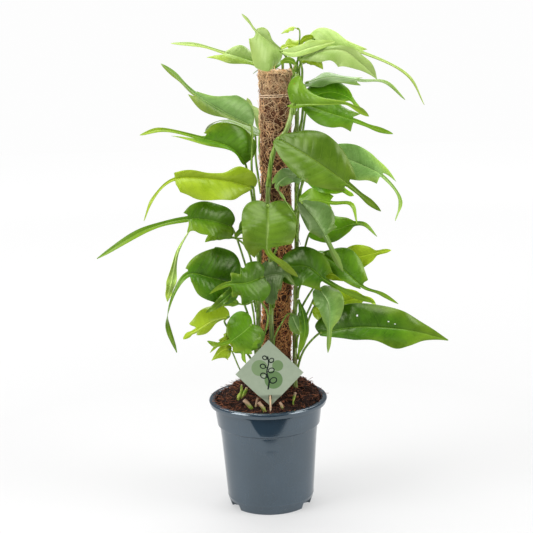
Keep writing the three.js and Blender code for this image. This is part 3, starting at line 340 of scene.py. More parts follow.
def tube(curve, radius, sides=12, steps=60):
    """A closed tube along curve. radius is a number or a function of t and the turn."""
    t = np.linspace(0, 1, steps + 1)
    centre = curve(t)
    along = unit(curve(t + 1e-3) - curve(t - 1e-3))
    side = np.cross(along[0], (0.0, 0.0, 1.0))
    if np.linalg.norm(side) < 0.1:
        side = np.cross(along[0], (0.0, 1.0, 0.0))
    turn = np.linspace(0, 2 * math.pi, sides + 1)
    places = np.zeros((steps + 1, sides + 1, 3))
    for i in range(steps + 1):
        side = unit(side - along[i] * np.dot(side, along[i]))
        other = np.cross(along[i], side)
        r = radius(t[i], turn) if callable(radius) else radius
        ring = np.cos(turn)[:, None] * side + np.sin(turn)[:, None] * other
        places[i] = centre[i] + ring * np.reshape(r, (-1, 1))
    places[:, -1] = places[:, 0]
    return closed_up(grid_of(places, closed=True))


def tapering(points, start, loss, sides, steps):
    """A closed tube through points in mm, whose radius in mm falls from start by loss."""
    return tube(
        curve_through(np.array(points) * MM), lambda t, turn: (start - loss * t) * MM,
        sides=sides, steps=steps)


print("tube helpers ready")

# %% Joined, scattered and finished pieces
def joined(parts):
    """Several bmeshes as one."""
    whole = bmesh.new()
    for part in parts:
        held = bpy.data.meshes.new("held")
        part.to_mesh(held)
        part.free()
        whole.from_mesh(held)
        bpy.data.meshes.remove(held)
    return whole


def scatter(template, places):
    """One bmesh with a copy of the template mesh at each place, a 4 by 4 matrix."""
    whole = bmesh.new()
    for place in places:
        template.transform(place)
        whole.from_mesh(template)
        template.transform(place.inverted())
    return whole


def new_piece(name, bm, finish, nodes=(), smooth=True):
    """A finished piece that rides on the plant: its mesh, its material and what it stands for."""
    data = bpy.data.meshes.new(name)
    bm.to_mesh(data)
    bm.free()
    data.materials.append(finish)
    data.polygons.foreach_set("use_smooth", [smooth] * len(data.polygons))
    piece = bpy.data.objects.new(name, data)
    bpy.context.scene.collection.objects.link(piece)
    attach(piece, "root")
    if nodes:
        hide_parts(*nodes)
    print(name, len(data.polygons), "faces")
    return piece


print("piece helpers ready")

# %% [markdown]
# ## The pot
#
# A nursery pot is blown or moulded in one thin wall: a turned-over lip, a tapered collar, a
# step, a body that narrows a little, and three feet with gaps between them. A turned shape could
# be a stack of cylinders, but one profile spun round the axis gives the true wall, inside and
# out. The gaps are cut with a Boolean and a narrow bevel then softens every edge, as the mould
# does.

# %% Pot profile
LIP_R, LIP_H, POT_H = 95, 9, 176
COLLAR_TOP_R, COLLAR_FOOT_R, STEP_Z = 86.2, 82.6, 133
BODY_TOP_R, BODY_FOOT_R = 79, 69.4
FOOT_R, FOOT_H, BOSS_R, WALL = 65.6, 12, 22, 2.2
LONG_WALL, NEAR_END = 9, 1.5

pot_profile = [
    (0.01, 0), (BOSS_R, 0), (BOSS_R + 2, 5), (FOOT_R - 7, 5), (FOOT_R - 5, 0), (FOOT_R, 0),
    (BODY_FOOT_R - 0.4, FOOT_H - 2), (BODY_FOOT_R + 0.2, FOOT_H + 2),
    (BODY_FOOT_R + 0.9, FOOT_H + 3.4), (BODY_FOOT_R + 0.6, FOOT_H + 5),
    (BODY_TOP_R - 2.2, STEP_Z - 22), (BODY_TOP_R, STEP_Z - 1.5), (COLLAR_FOOT_R, STEP_Z + 1.5),
    (COLLAR_TOP_R, POT_H - 12), (COLLAR_TOP_R + 0.4, POT_H - 3),
    (LIP_R - 1.8 - WALL, POT_H - 3), (LIP_R - 1.8 - WALL, POT_H - LIP_H),
    (LIP_R - 1.8, POT_H - LIP_H), (LIP_R, POT_H - 2.4), (LIP_R - 1.6, POT_H - 0.4),
    (LIP_R - 4, POT_H), (COLLAR_TOP_R + 1.6, POT_H), (COLLAR_TOP_R - 1.6, POT_H - 2.2),
    (COLLAR_TOP_R - WALL, POT_H - 13), (COLLAR_FOOT_R - WALL, STEP_Z + 1),
    (BODY_TOP_R - WALL, STEP_Z - 3), (BODY_FOOT_R - WALL, FOOT_H + 1), (FOOT_R - 1, 8),
    (0.01, 8),
]


def kept_flat(profile):
    """The profile with a point near both ends of each long wall, so that shading keeps it flat."""
    made = [profile[0]]
    for (r0, z0), (r1, z1) in zip(profile, profile[1:]):
        length = math.hypot(r1 - r0, z1 - z0)
        if length > LONG_WALL:
            for t in (NEAR_END / length, 1 - NEAR_END / length):
                made.append((r0 + t * (r1 - r0), z0 + t * (z1 - z0)))
        made.append((r1, z1))
    return made


print("profile points:", len(pot_profile), "and kept flat", len(kept_flat(pot_profile)))

# %% Turned and worked shapes
def turned(profile, steps):
    """A closed solid of revolution about the Z axis through the profile's points, in mm."""
    bm = bmesh.new()
    line = [bm.verts.new((r * MM, 0, z * MM)) for r, z in profile]
    edges = [bm.edges.new(pair) for pair in zip(line, line[1:])]
    bmesh.ops.spin(
        bm, geom=line + edges, cent=(0, 0, 0), axis=(0, 0, 1),
        angle=2 * math.pi, steps=steps, use_merge=True,
    )
    return closed_up(bm)


def with_modifiers(bm, *changes):
    """The bmesh after modifiers: each change is a type and its settings."""
    data = bpy.data.meshes.new("worked")
    bm.to_mesh(data)
    bm.free()
    work = bpy.data.objects.new("worked", data)
    bpy.context.scene.collection.objects.link(work)
    for kind, settings in changes:
        modifier = work.modifiers.new(kind.lower(), kind)
        for key, value in settings.items():
            setattr(modifier, key, value)
    graph = bpy.context.evaluated_depsgraph_get()
    result = bmesh.new()
    result.from_mesh(work.evaluated_get(graph).to_mesh())
    bpy.data.objects.remove(work)
    return result


print("lathe ready")

# %% Pot shape
NOTCH_DEEP, NOTCH_W, NOTCH_H = 16, 27, 12
NOTCH_MIDDLE_Z = 4
NOTCH_TURNS = (-30, 90, 210)
POT_STEPS, POT_BEVEL, BEVEL_ANGLE = 120, 0.5, 28

cutter_bm = bmesh.new()
for degrees in NOTCH_TURNS:
    box_place = (
        Matrix.Rotation(math.radians(degrees), 4, "Z")
        @ Matrix.Translation(((FOOT_R + 2) * MM, 0, NOTCH_MIDDLE_Z * MM))
        @ Matrix.Diagonal((NOTCH_DEEP * MM, NOTCH_W * MM, NOTCH_H * MM, 1))
    )
    bmesh.ops.create_cube(cutter_bm, size=1, matrix=box_place)
cutter_data = bpy.data.meshes.new("notches")
cutter_bm.to_mesh(cutter_data)
cutter = bpy.data.objects.new("notches", cutter_data)
bpy.context.scene.collection.objects.link(cutter)

pot_bm = with_modifiers(
    turned(kept_flat(pot_profile), POT_STEPS),
    ("BOOLEAN", {"object": cutter, "operation": "DIFFERENCE", "solver": "EXACT"}),
    ("BEVEL", {"width": POT_BEVEL * MM, "segments": 2, "limit_method": "ANGLE",
               "angle_limit": math.radians(BEVEL_ANGLE), "harden_normals": False}),
)
bpy.data.objects.remove(cutter)
print("pot faces:", len(pot_bm.faces))

# %% [markdown]
# ## Pot plastic
#
# The plastic is blue-grey with a soft gloss, and a used pot is never clean: water and potting
# mix leave pale spots near the foot, handling rubs fine upright scuffs into the body, and the
# mould leaves a faint ripple. The spots and scuffs change colour and roughness together, since
# dust dulls the plastic where it lies.

# %% Pot plastic
pot_plastic, tree, shader = new_finish("pot_plastic", 0.16, 1.0)
shader.inputs["IOR"].default_value = 1.6
shader.inputs["Specular Tint"].default_value = (0.84, 0.94, 1.0, 1.0)
here = place_of(tree)
upright = place_of(tree, (1, 1, 0.1))
height = node(tree, "SeparateXYZ", {"Vector": here}).outputs["Z"]
scuffs = ramp(tree, grain(tree, upright, 240, 6), 0.6, 0.78)
dust = ramp(tree, grain(tree, here, 300, 8, 0.7), 0.6, 0.72)
low_down = ramp(tree, height, 0.0, 0.1, (0.36, 0.07))
by_lip = ramp(tree, height, 0.168, 0.176, (0.0, 0.12))
marks = maths(tree, "ADD", maths(tree, "MULTIPLY", dust, maths(tree, "ADD", low_down, by_lip)),
              maths(tree, "MULTIPLY", scuffs, 0.07))
cloudy = ramp(tree, grain(tree, here, 14, 3), 0.3, 0.7)
plastic = blend(tree, cloudy, seen(31, 49, 62), seen(39, 58, 73))
plastic = blend(tree, marks, plastic, seen(138, 142, 142))
tree.links.new(plastic, shader.inputs["Base Color"])
wiped = ramp(tree, grain(tree, upright, 30, 4), 0.3, 0.7, (0.05, 0.12))
gloss = maths(tree, "ADD", maths(tree, "MULTIPLY", marks, 0.5), wiped, clamp=True)
tree.links.new(gloss, shader.inputs["Roughness"])
relief(tree, shader, grain(tree, upright, 22, 2), 0.12, 0.0005)

new_piece("nursery_pot", pot_bm, pot_plastic, ["pot"])

# %% [markdown]
# ## Potting soil
#
# The soil is a peat mix that was heaped against the pole and has dried at the top. Its surface
# could be one bumpy sheet, but from this close the eye looks for separate crumbs. So the mound
# is a rough dark sheet with a skirt inside the wall. Thousands of crumbs, bark flakes and wiry
# peat fibres lie on it, and some have spilled onto the pot's lip. Each crumb is a low ball of
# twenty faces, squashed and turned at random.

# %% Soil shape
SOIL_EDGE_Z, SOIL_DOME, SOIL_R = 173, 22, 84
SOIL_TILT = (5, 9)
SOIL_TOP_R = 83
SKIRT_SHARE, SKIRT_DEPTH = 0.96, 22
CLODS, PITS, SUNK = 3.4, 2.4, 1.6
MOUND_SIDES, MOUND_CUTS = 96, 40


def soil_height(x, y):
    """The height of the mound in mm, at a place in mm."""
    r = math.hypot(x, y) / SOIL_R
    lean = (SOIL_TILT[0] * x + SOIL_TILT[1] * y) / SOIL_R
    lumps = 1.2 * math.sin(x * 0.13 + 1) * math.cos(y * 0.15)
    return SOIL_EDGE_Z + SOIL_DOME * (1 - r**4) + lean + lumps


def soil_rough(x, y):
    """The same with clods and hollows."""
    clods = noise.fractal(Vector((x * 0.09, y * 0.09, 3.1)), 1.0, 2.1, 5)
    pits = noise.noise(Vector((x * 0.3, y * 0.3, 9.0)))
    return soil_height(x, y) + CLODS * clods - PITS * max(0.0, pits) - SUNK


bm = bmesh.new()
bmesh.ops.create_circle(
    bm, cap_ends=True, cap_tris=True, segments=MOUND_SIDES, radius=SOIL_TOP_R * MM)
bmesh.ops.subdivide_edges(bm, edges=bm.edges, cuts=MOUND_CUTS, use_grid_fill=True)
for vert in bm.verts:
    x, y = vert.co.x / MM, vert.co.y / MM
    vert.co.z = soil_rough(x, y) * MM
rim = [e for e in bm.edges if e.is_boundary]
skirt = bmesh.ops.extrude_edge_only(bm, edges=rim)["geom"]
for vert in [v for v in skirt if isinstance(v, bmesh.types.BMVert)]:
    vert.co.x *= SKIRT_SHARE
    vert.co.y *= SKIRT_SHARE
    vert.co.z = (SOIL_EDGE_Z - SKIRT_DEPTH) * MM
soil_bm = closed_up(bm)
print("mound faces:", len(soil_bm.faces))

# %% [markdown]
# ## The colour of soil
#
# Damp peat is nearly black in its hollows and red-brown where it has dried, and bark flakes are
# lighter still. The mound takes its colour from noise at two scales. A crumb also has a shade of
# its own, stored on its vertices, so that neighbours differ.

# %% Soil finish
def soil_finish(name, own_shade):
    """Peat; with own_shade each crumb's stored shade lightens it."""
    material, tree, shader = new_finish(name, 0.9, 0.25)
    here = place_of(tree)
    fine = grain(tree, here, 620, 6, 0.7)
    broad = grain(tree, here, 90, 3)
    earth = blend(tree, ramp(tree, fine, 0.36, 0.68), seen(16, 10, 10), seen(68, 39, 31))
    earth = blend(tree, ramp(tree, broad, 0.35, 0.62), earth, seen(36, 24, 20))
    if own_shade:
        earth = blend(tree, stored(tree, "shade"), earth, seen(178, 112, 80))
    tree.links.new(earth, shader.inputs["Base Color"])
    relief(tree, shader, fine, 0.8, 0.0012)
    return material


soil_paint = soil_finish("peat_mound", False)
crumb_paint = soil_finish("peat_crumbs", True)
new_piece("soil_mound", soil_bm, soil_paint, ["soil"])

# %% Crumbs and where they lie
def lump_template(seed):
    """A mesh of one crumb, 1 m across, with its corners pushed in or out."""
    bm = bmesh.new()
    bmesh.ops.create_icosphere(bm, subdivisions=1, radius=0.5)
    throw = random.Random(seed)
    for vert in bm.verts:
        vert.co *= throw.uniform(0.55, 1.15)
    return as_data(bm)


def as_data(bm):
    """A bmesh as mesh data to be scattered."""
    data = bpy.data.meshes.new("template")
    bm.to_mesh(data)
    bm.free()
    return data


def turned_at_random(dice):
    """A rotation with no favourite direction."""
    axis = Vector((dice.gauss(0, 1), dice.gauss(0, 1), dice.gauss(0, 1))).normalized()
    return Matrix.Rotation(dice.uniform(0, 2 * math.pi), 4, axis)


def on_soil(dice, share=1.0):
    """A place on the mound, evenly spread over its area."""
    r = SOIL_TOP_R * share * math.sqrt(dice.random())
    a = dice.uniform(0, 2 * math.pi)
    x, y = r * math.cos(a), r * math.sin(a)
    return x, y, soil_rough(x, y)


def on_lip(dice):
    """A place on the lip's flat top, mostly at the left and the right."""
    a = dice.choice((0.0, math.pi)) + dice.gauss(0, 0.75)
    r = SOIL_TOP_R + 1.5 + abs(dice.gauss(0, 2.2))
    return r * math.cos(a), r * math.sin(a), POT_H + 0.1


def give_shades(piece, corners_each, pick):
    """Stores one number on all the vertices of each loose part, all parts having as many."""
    layer = piece.data.attributes.new("shade", "FLOAT", "POINT")
    count = len(piece.data.vertices) // corners_each
    values = np.repeat([pick() for _ in range(count)], corners_each)
    layer.data.foreach_set("value", values.astype(np.float32))


print("the mound's middle is", round(soil_rough(0, 0), 1), "mm up")

# %% Soil crumbs
CRUMBS, SPILLED = 3200, 150
CRUMB_SHAPES, CRUMB_CORNERS = 5, 12
SMALLEST_CRUMB, CRUMB_RANGE, CRUMB_RARITY = 0.9, 5.2, 2.4
SMALLEST_SPILLED, SPILLED_RANGE = 0.8, 1.5
dice = random.Random(41)
crumb_sets = []
for seed in range(CRUMB_SHAPES):
    places = []
    for k in range((CRUMBS + SPILLED) // CRUMB_SHAPES):
        spilled = k >= CRUMBS // CRUMB_SHAPES
        x, y, z = on_lip(dice) if spilled else on_soil(dice, 0.985)
        if spilled:
            size = SMALLEST_SPILLED + SPILLED_RANGE * dice.random()
        else:
            size = SMALLEST_CRUMB + CRUMB_RANGE * dice.random() ** CRUMB_RARITY
        wide = size * MM
        stretch = Matrix.Diagonal((wide, wide * dice.uniform(0.4, 1), wide * 0.5, 1))
        place = Matrix.Translation((x * MM, y * MM, (z + 0.2 * size) * MM))
        places.append(place @ turned_at_random(dice) @ stretch)
    crumb_sets.append(scatter(lump_template(seed), places))
crumbs = new_piece("soil_crumbs", joined(crumb_sets), crumb_paint, smooth=False)
give_shades(crumbs, CRUMB_CORNERS, lambda: 0.66 * dice.random() ** 3.6)

# %% [markdown]
# ## Wiry strands
#
# Peat fibres in the soil and coconut fibre on the pole are the same kind of thing, a wire that
# wanders and curls. `strand_path` walks a few steps over a flat sheet, turning a little at each.
# The soil leaves that path flat, and the pole wraps it round its drum. A strand has three sides
# and seven steps, which is enough for a wire half a millimetre thick.

# %% Strand shapes
STRAND_STEPS = 7
STRAND_CORNERS = 3 * (STRAND_STEPS + 1)


def strand_path(throw, length, curl, heading):
    """Points (s, t) in mm of a strand that sets off at heading and curls by so many degrees."""
    points, s, t = [], 0.0, 0.0
    for k in range(6):
        points.append((s, t))
        a = math.radians(heading + curl * (k / 5 - 0.5) + throw.uniform(-22, 22))
        s += length / 5 * math.cos(a)
        t += length / 5 * math.sin(a)
    return [(ps - s / 2, pt - t / 2) for ps, pt in points]


def flat_strand(seed, length, curl, radius):
    """A strand that lies on the ground, with a little lift here and there."""
    throw = random.Random(seed)
    path = strand_path(throw, length, curl, 0)
    points = [(s * MM, t * MM, throw.uniform(-0.6, 1.4) * MM) for s, t in path]
    return as_data(tube(curve_through(points), radius * MM, sides=3, steps=STRAND_STEPS))


print("corners of a strand:", STRAND_CORNERS)

# %% Peat fibres
PEAT_FIBRES = 760
PEAT_SHAPES = [(9, 60, 0.34), (14, -90, 0.3), (19, 50, 0.4), (12, 140, 0.26), (24, -40, 0.32)]
SPILLED_EVERY = 19
FIBRE_LIFT = 0.9
peat_sets = []
for seed, (length, curl, radius) in enumerate(PEAT_SHAPES):
    places = []
    for k in range(PEAT_FIBRES // len(PEAT_SHAPES)):
        x, y, z = on_lip(dice) if k % SPILLED_EVERY == 0 else on_soil(dice, 0.97)
        tilt = Matrix.Rotation(dice.gauss(0, 0.16), 4, "X")
        place = Matrix.Translation((x * MM, y * MM, (z + FIBRE_LIFT) * MM))
        places.append(place @ Matrix.Rotation(dice.uniform(0, 2 * math.pi), 4, "Z") @ tilt)
    peat_sets.append(scatter(flat_strand(seed, length, curl, radius), places))
peat_fibres = new_piece("soil_fibres", joined(peat_sets), crumb_paint)
give_shades(peat_fibres, STRAND_CORNERS, lambda: 0.1 + 0.8 * dice.random() ** 2)

# %% [markdown]
# ## The coir pole
#
# A coir pole is a stake with a mat of coconut fibre wound about it. From a step away it is a
# ragged brown column, from near by a mass of curled wires over dark gaps. The column is a grid
# carried round the stake's leaning axis and roughened in lumps. The strands are real geometry
# too: each is a curl wrapped on a drum as thick as the pole, so that it lies on the mat.

# %% Pole measures
POLE_FOOT, POLE_TOP = (10, 0, 24), (26.5, 0, 690)
POLE_R, POLE_TOP_R = 23.6, 25
TIE_Z, TIE_WAIST_R, TIE_BAND, WIRE_R = 654, 21.8, 6, 0.8
FLARE_Z = 672


def pole_axis(z):
    """Where the pole's axis is at height z, all in mm."""
    t = (z - POLE_FOOT[2]) / (POLE_TOP[2] - POLE_FOOT[2])
    return (
        POLE_FOOT[0] + t * (POLE_TOP[0] - POLE_FOOT[0]),
        POLE_FOOT[1] + t * (POLE_TOP[1] - POLE_FOOT[1]),
    )


def pole_radius(z):
    """The mat's outer radius at height z: drawn in under the wire, flared at the top."""
    r = POLE_R + 0.7 * math.sin(z * 0.071)
    if z > TIE_Z:
        r = POLE_TOP_R + 1.6 * max(0.0, (z - FLARE_Z) / (POLE_TOP[2] - FLARE_Z))
    gather = math.exp(-(((z - TIE_Z) / (TIE_BAND * 1.5)) ** 2))
    return r + (TIE_WAIST_R - 1.4 - r) * gather


def pole_lump(a, z):
    """How far in mm the mat bulges at turn a and height z."""
    ring = Vector((math.cos(a) * 1.7, math.sin(a) * 1.7, z * 0.07))
    return 3.2 * noise.noise(ring) + 1.7 * noise.noise(ring * 3.1)


print("the pole's radius at half height:", round(pole_radius(340), 1), "mm")

# %% Pole shape
MAT_FROM_Z, MAT_UNDER = 150, 2.0
MAT_TURNS, MAT_LEVELS = 96, 240
places = np.zeros((MAT_LEVELS, MAT_TURNS + 1, 3))
for i, z in enumerate(np.linspace(MAT_FROM_Z, POLE_TOP[2] - 2, MAT_LEVELS)):
    x, y = pole_axis(z)
    for j in range(MAT_TURNS):
        a = 2 * math.pi * j / MAT_TURNS
        ragged = noise.noise(Vector((math.cos(a) * 8, math.sin(a) * 8, z * 0.4)))
        rounded_off = 3 * max(0.0, (z - POLE_TOP[2] + 5) / 3) ** 2
        r = pole_radius(z) - MAT_UNDER + pole_lump(a, z) + 0.8 * ragged - rounded_off
        places[i, j] = (x + r * math.cos(a), y + r * math.sin(a), z)
places[:, -1] = places[:, 0]
pole_bm = closed_up(grid_of(places * MM, closed=True))
print("mat faces:", len(pole_bm.faces))

# %% [markdown]
# ## Coir
#
# Coir is dark red-brown where it is damp, in patches. The mat under the strands takes darker
# colours, which are painted shade in the gaps between the strands. Towards the top the coir
# turns to straw, a painted light where the lamps reach it. Each strand has a shade of its own,
# and the lighter ones take most of that painted light with the height.

# %% Coir finish
DAMP_COIR = (74, 36, 20)


def coir_finish(name, dark, light, lit_top):
    """Coconut fibre between two colours, with painted light towards the top; a stored shade
    lightens it.
    """
    material, tree, shader = new_finish(name, 0.8, 0.3)
    here = place_of(tree)
    height = node(tree, "SeparateXYZ", {"Vector": here}).outputs["Z"]
    threads = grain(tree, here, 420, 6, 0.65)
    patches = grain(tree, here, 24, 4)
    lit = maths(tree, "ADD", maths(tree, "MULTIPLY", threads, 0.5), stored(tree, "shade"))
    coir = blend(tree, ramp(tree, lit, 0.1, 1.0), seen(*dark), seen(*light))
    damp = maths(tree, "MULTIPLY", ramp(tree, patches, 0.45, 0.6), 0.6)
    coir = blend(tree, damp, coir, seen(*DAMP_COIR))
    sunlit = maths(tree, "MULTIPLY", lit, 0.75)
    # Painted light: towards the top the coir turns to a straw colour, the lighter strands most.
    high = maths(tree, "MULTIPLY", ramp(tree, height, 0.34, 0.69), sunlit)
    coir = blend(tree, high, coir, seen(*lit_top))
    tree.links.new(coir, shader.inputs["Base Color"])
    relief(tree, shader, threads, 0.8, 0.001)
    return material


# The mat's darker colours are painted shade in the gaps between the strands.
coir_mat = coir_finish("coir_mat", (50, 26, 16), (136, 80, 48), (156, 100, 62))
coir_strand = coir_finish("coir_strand", (154, 82, 48), (255, 190, 124), (255, 226, 182))
new_piece("coir_mat", pole_bm, coir_mat, ["coir_pole"])

# %% Strands round the pole
STRAND_R = 0.52


def wrapped_strand(seed, length, curl, heading, stray=0.0):
    """A strand wrapped on the pole's drum; a stray one leaves it by so many mm."""
    throw = random.Random(100 + seed)
    points = []
    for k, (s, t) in enumerate(strand_path(throw, length, curl, heading)):
        r = POLE_R + throw.uniform(-0.7, 1.1) + stray * (k / 5) ** 1.5
        a = s / POLE_R
        points.append((r * math.cos(a) * MM, r * math.sin(a) * MM, t * MM))
    radius = STRAND_R * (0.6 if stray else throw.uniform(0.7, 1.15)) * MM
    return as_data(tube(curve_through(points), radius, sides=3, steps=STRAND_STEPS))


def on_pole(dice, low, high):
    """The place of a wrapped strand somewhere on the pole between two heights."""
    z = dice.uniform(low, high)
    x, y = pole_axis(z)
    a = dice.uniform(0, 2 * math.pi)
    size = (pole_radius(z) - 0.6 + pole_lump(a, z) + dice.uniform(-1.3, 0.9)) / POLE_R
    return (
        Matrix.Translation((x * MM, y * MM, z * MM))
        @ Matrix.Rotation(a, 4, "Z")
        @ Matrix.Rotation(dice.uniform(-0.05, 0.05), 4, "X")
        @ Matrix.Diagonal((size, size, dice.choice((-1, 1)), 1))
    )


print("strands are", 2 * STRAND_R, "mm thick")

# %% Coir strands
STRANDS, TOP_STRANDS, STRAND_SHAPES = 3840, 640, 16
STRANDS_FROM_Z, TOP_FROM_Z = 182, TIE_Z + 8
strand_sets = []
for seed in range(STRAND_SHAPES):
    shape = random.Random(seed)
    template = wrapped_strand(
        seed, shape.uniform(13, 26), shape.choice((-1, 1)) * shape.uniform(40, 250),
        shape.uniform(-75, 75))
    places = [
        on_pole(dice, STRANDS_FROM_Z, POLE_TOP[2] - 5) for _ in range(STRANDS // STRAND_SHAPES)]
    places += [
        on_pole(dice, TOP_FROM_Z, POLE_TOP[2] - 2) for _ in range(TOP_STRANDS // STRAND_SHAPES)]
    strand_sets.append(scatter(template, places))
strands_bm = joined(strand_sets)
bmesh.ops.recalc_face_normals(strands_bm, faces=strands_bm.faces)
strands = new_piece("coir_strands", strands_bm, coir_strand)
give_shades(strands, STRAND_CORNERS, lambda: dice.random() ** 1.5)

# %% Stray strands
STRAYS, STRAY_SHAPES, STRAY_REACH = 260, 6, 4.5
STRAYS_FROM_Z = 200
TOP_CURLS = [(16, 150, 0.4), (22, -110, 0.36), (12, 80, 0.42)]
EACH_TOP_CURL = 120
stray_sets = []
for seed in range(STRAY_SHAPES):
    template = wrapped_strand(
        20 + seed, 12 + 2 * seed, (-1) ** seed * 60, 30 * seed - 70, STRAY_REACH)
    places = [
        on_pole(dice, STRAYS_FROM_Z, POLE_TOP[2] - 2) for _ in range(STRAYS // STRAY_SHAPES)]
    stray_sets.append(scatter(template, places))
for seed, (length, curl, radius) in enumerate(TOP_CURLS):
    places = []
    for _ in range(EACH_TOP_CURL):
        x, y = pole_axis(POLE_TOP[2])
        a, r = dice.uniform(0, 2 * math.pi), (POLE_TOP_R - 3) * math.sqrt(dice.random())
        heap = POLE_TOP[2] - 2.6 + 2.0 * (1 - (r / POLE_TOP_R) ** 2)
        places.append(
            Matrix.Translation(((x + r * math.cos(a)) * MM, (y + r * math.sin(a)) * MM, heap * MM))
            @ Matrix.Rotation(dice.uniform(0, 2 * math.pi), 4, "Z")
            @ Matrix.Rotation(dice.gauss(0, 0.2), 4, "X"))
    stray_sets.append(scatter(flat_strand(30 + seed, length, curl, radius), places))
strays_bm = joined(stray_sets)
bmesh.ops.recalc_face_normals(strays_bm, faces=strays_bm.faces)
strays = new_piece("coir_stray_strands", strays_bm, coir_strand)
give_shades(strays, STRAND_CORNERS, lambda: 0.3 + 0.7 * dice.random())

# %% Loose ends at the top
TOP_ENDS = [
    [(14, -7, 684), (15, -8, 700), (17, -7, 716), (16, -6, 727)],
    [(24, 5, 686), (26, 5, 702), (28, 5, 718), (27, 6, 733)],
    [(8, -12, 684), (4, -15, 694), (2, -14, 699)],
]
ends_bm = joined([tapering(points, 0.85, 0.35, 6, 12) for points in TOP_ENDS])
top_ends = new_piece("coir_top_ends", ends_bm, coir_strand)
give_shades(top_ends, len(top_ends.data.vertices), lambda: 0.9)

# %% [markdown]
# ## Wire
#
# A tie of pale plastic-covered wire gathers the mat near the top. It is one tube, two turns
# round and climbing by one band's width.

# %% Wire
wire_finish, tree, shader = new_finish("tie_wire", 0.45, 0.5)
rubbed = grain(tree, place_of(tree), 300, 3)
two_tone(tree, shader, rubbed, (0.4, 0.7), (226, 198, 164), (178, 136, 100))
WIRE_TURNS, WIRE_POINTS, WIRE_PROUD = 2, 32, 2.6
wire_points = []
for k in range(WIRE_POINTS + 1):
    a = 2 * math.pi * WIRE_TURNS * k / WIRE_POINTS
    z = TIE_Z + TIE_BAND * (k / WIRE_POINTS - 0.5)
    x, y = pole_axis(z)
    r = TIE_WAIST_R + WIRE_R + WIRE_PROUD
    wire_points.append(((x + r * math.cos(a)) * MM, (y + r * math.sin(a)) * MM, z * MM))
wire_bm = tube(curve_through(wire_points), WIRE_R * MM, sides=10, steps=120)
new_piece("tie_wire", wire_bm, wire_finish, ["pole_wire"])

# %% [markdown]
# ## Stems
#
# A climbing stem is green and fleshy, thickened at every node, where a leaf once grew and left
# a pale ring, and a few short brown roots feel for the pole. One tube whose radius follows
# the nodes makes the stem. The roots are small tapered tubes that start inside it.

# %% Stem places
VINES = {
    "vine_left": [
        (-16, -27, 130), (-16, -27, 205), (-12, -25, 300), (-7, -25, 400), (-4, -24, 465),
        (-3, -24, 495)],
    "vine_front": [
        (8, -36, 130), (8, -36, 205), (9, -33, 300), (10, -33, 400), (9, -33, 500),
        (21, -34, 575), (41, -33, 606), (52, -36, 645), (58, -40, 688)],
    "vine_right": [
        (44, -14, 130), (44, -14, 205), (46, -14, 300), (51, -13, 400), (54, -12, 500),
        (56, -6, 580), (58, 0, 630)],
    "vine_back_right": [
        (34, 26, 130), (34, 26, 205), (36, 28, 330), (40, 28, 480), (43, 28, 600),
        (45, 26, 660), (46, 25, 684)],
    "vine_back_left": [
        (-12, 26, 130), (-12, 26, 205), (-10, 28, 330), (0, 28, 450), (6, 28, 560),
        (9, 27, 640), (11, 26, 668)],
}
vine_curves = {name: curve_through(points) for name, points in VINES.items()}


def vine_at(name, z):
    """The place in mm where a stem's middle passes height z."""
    low, high = 0.0, 1.0
    for _ in range(30):
        middle = (low + high) / 2
        if vine_curves[name](middle)[2] < z:
            low = middle
        else:
            high = middle
    return vine_curves[name](low)


print("the left stem at 300 mm:", vine_at("vine_left", 300).round(1))

# %% Stem shape
VINE_R, NODE_SPACING = 4, 46
NODE_SWELLING, NODE_HALF = 0.16, 3.2
STEM_SHRINK, STEM_TAPER, STEM_FURROW = 0.94, 0.12, 0.05
ROOTLESS_FOOT, ROOTLESS_SHARE = 80, 0.35


def stem_radius(length):
    """A radius for tube(), in m, with a swelling at each node of a stem this many mm long."""
    def radius(t, turn):
        from_node = (t * length) % NODE_SPACING - NODE_SPACING / 2
        swelling = 1 + NODE_SWELLING * math.exp(-((from_node / NODE_HALF) ** 2))
        slimmer = 1 - STEM_TAPER * t
        furrow = 1 + STEM_FURROW * np.cos(2 * turn + t * 9)
        return VINE_R * STEM_SHRINK * MM * swelling * slimmer * furrow
    return radius


def stem_bm(name):
    """One stem with its roots."""
    points = np.array(VINES[name], float)
    length = np.linalg.norm(np.diff(points, axis=0), axis=1).sum()
    curve = curve_through(points * MM)
    parts = [tube(curve, stem_radius(length), sides=16, steps=int(length / 2.5))]
    throw = random.Random(name)
    for k in range(1, int(length / NODE_SPACING)):
        t = (k + 0.5) * NODE_SPACING / length
        if throw.random() < ROOTLESS_SHARE or t * length < ROOTLESS_FOOT:
            continue
        start = curve(t)
        x, y = pole_axis(start[2] / MM)
        inward = unit(np.array((x * MM - start[0], y * MM - start[1], 0.0)))
        aside = np.array((-inward[1], inward[0], 0.0)) * throw.uniform(-4, 4) * MM
        end = start + inward * throw.uniform(6, 9) * MM + aside
        end[2] -= throw.uniform(2, 9) * MM
        bend = (start + end) / 2 + np.array((0, 0, 1.5 * MM))
        root = curve_through([start, bend, end])
        parts.append(tube(root, lambda t, turn: (0.9 - 0.5 * t) * MM, sides=6, steps=6))
    return joined(parts)


print("a node every", NODE_SPACING, "mm")
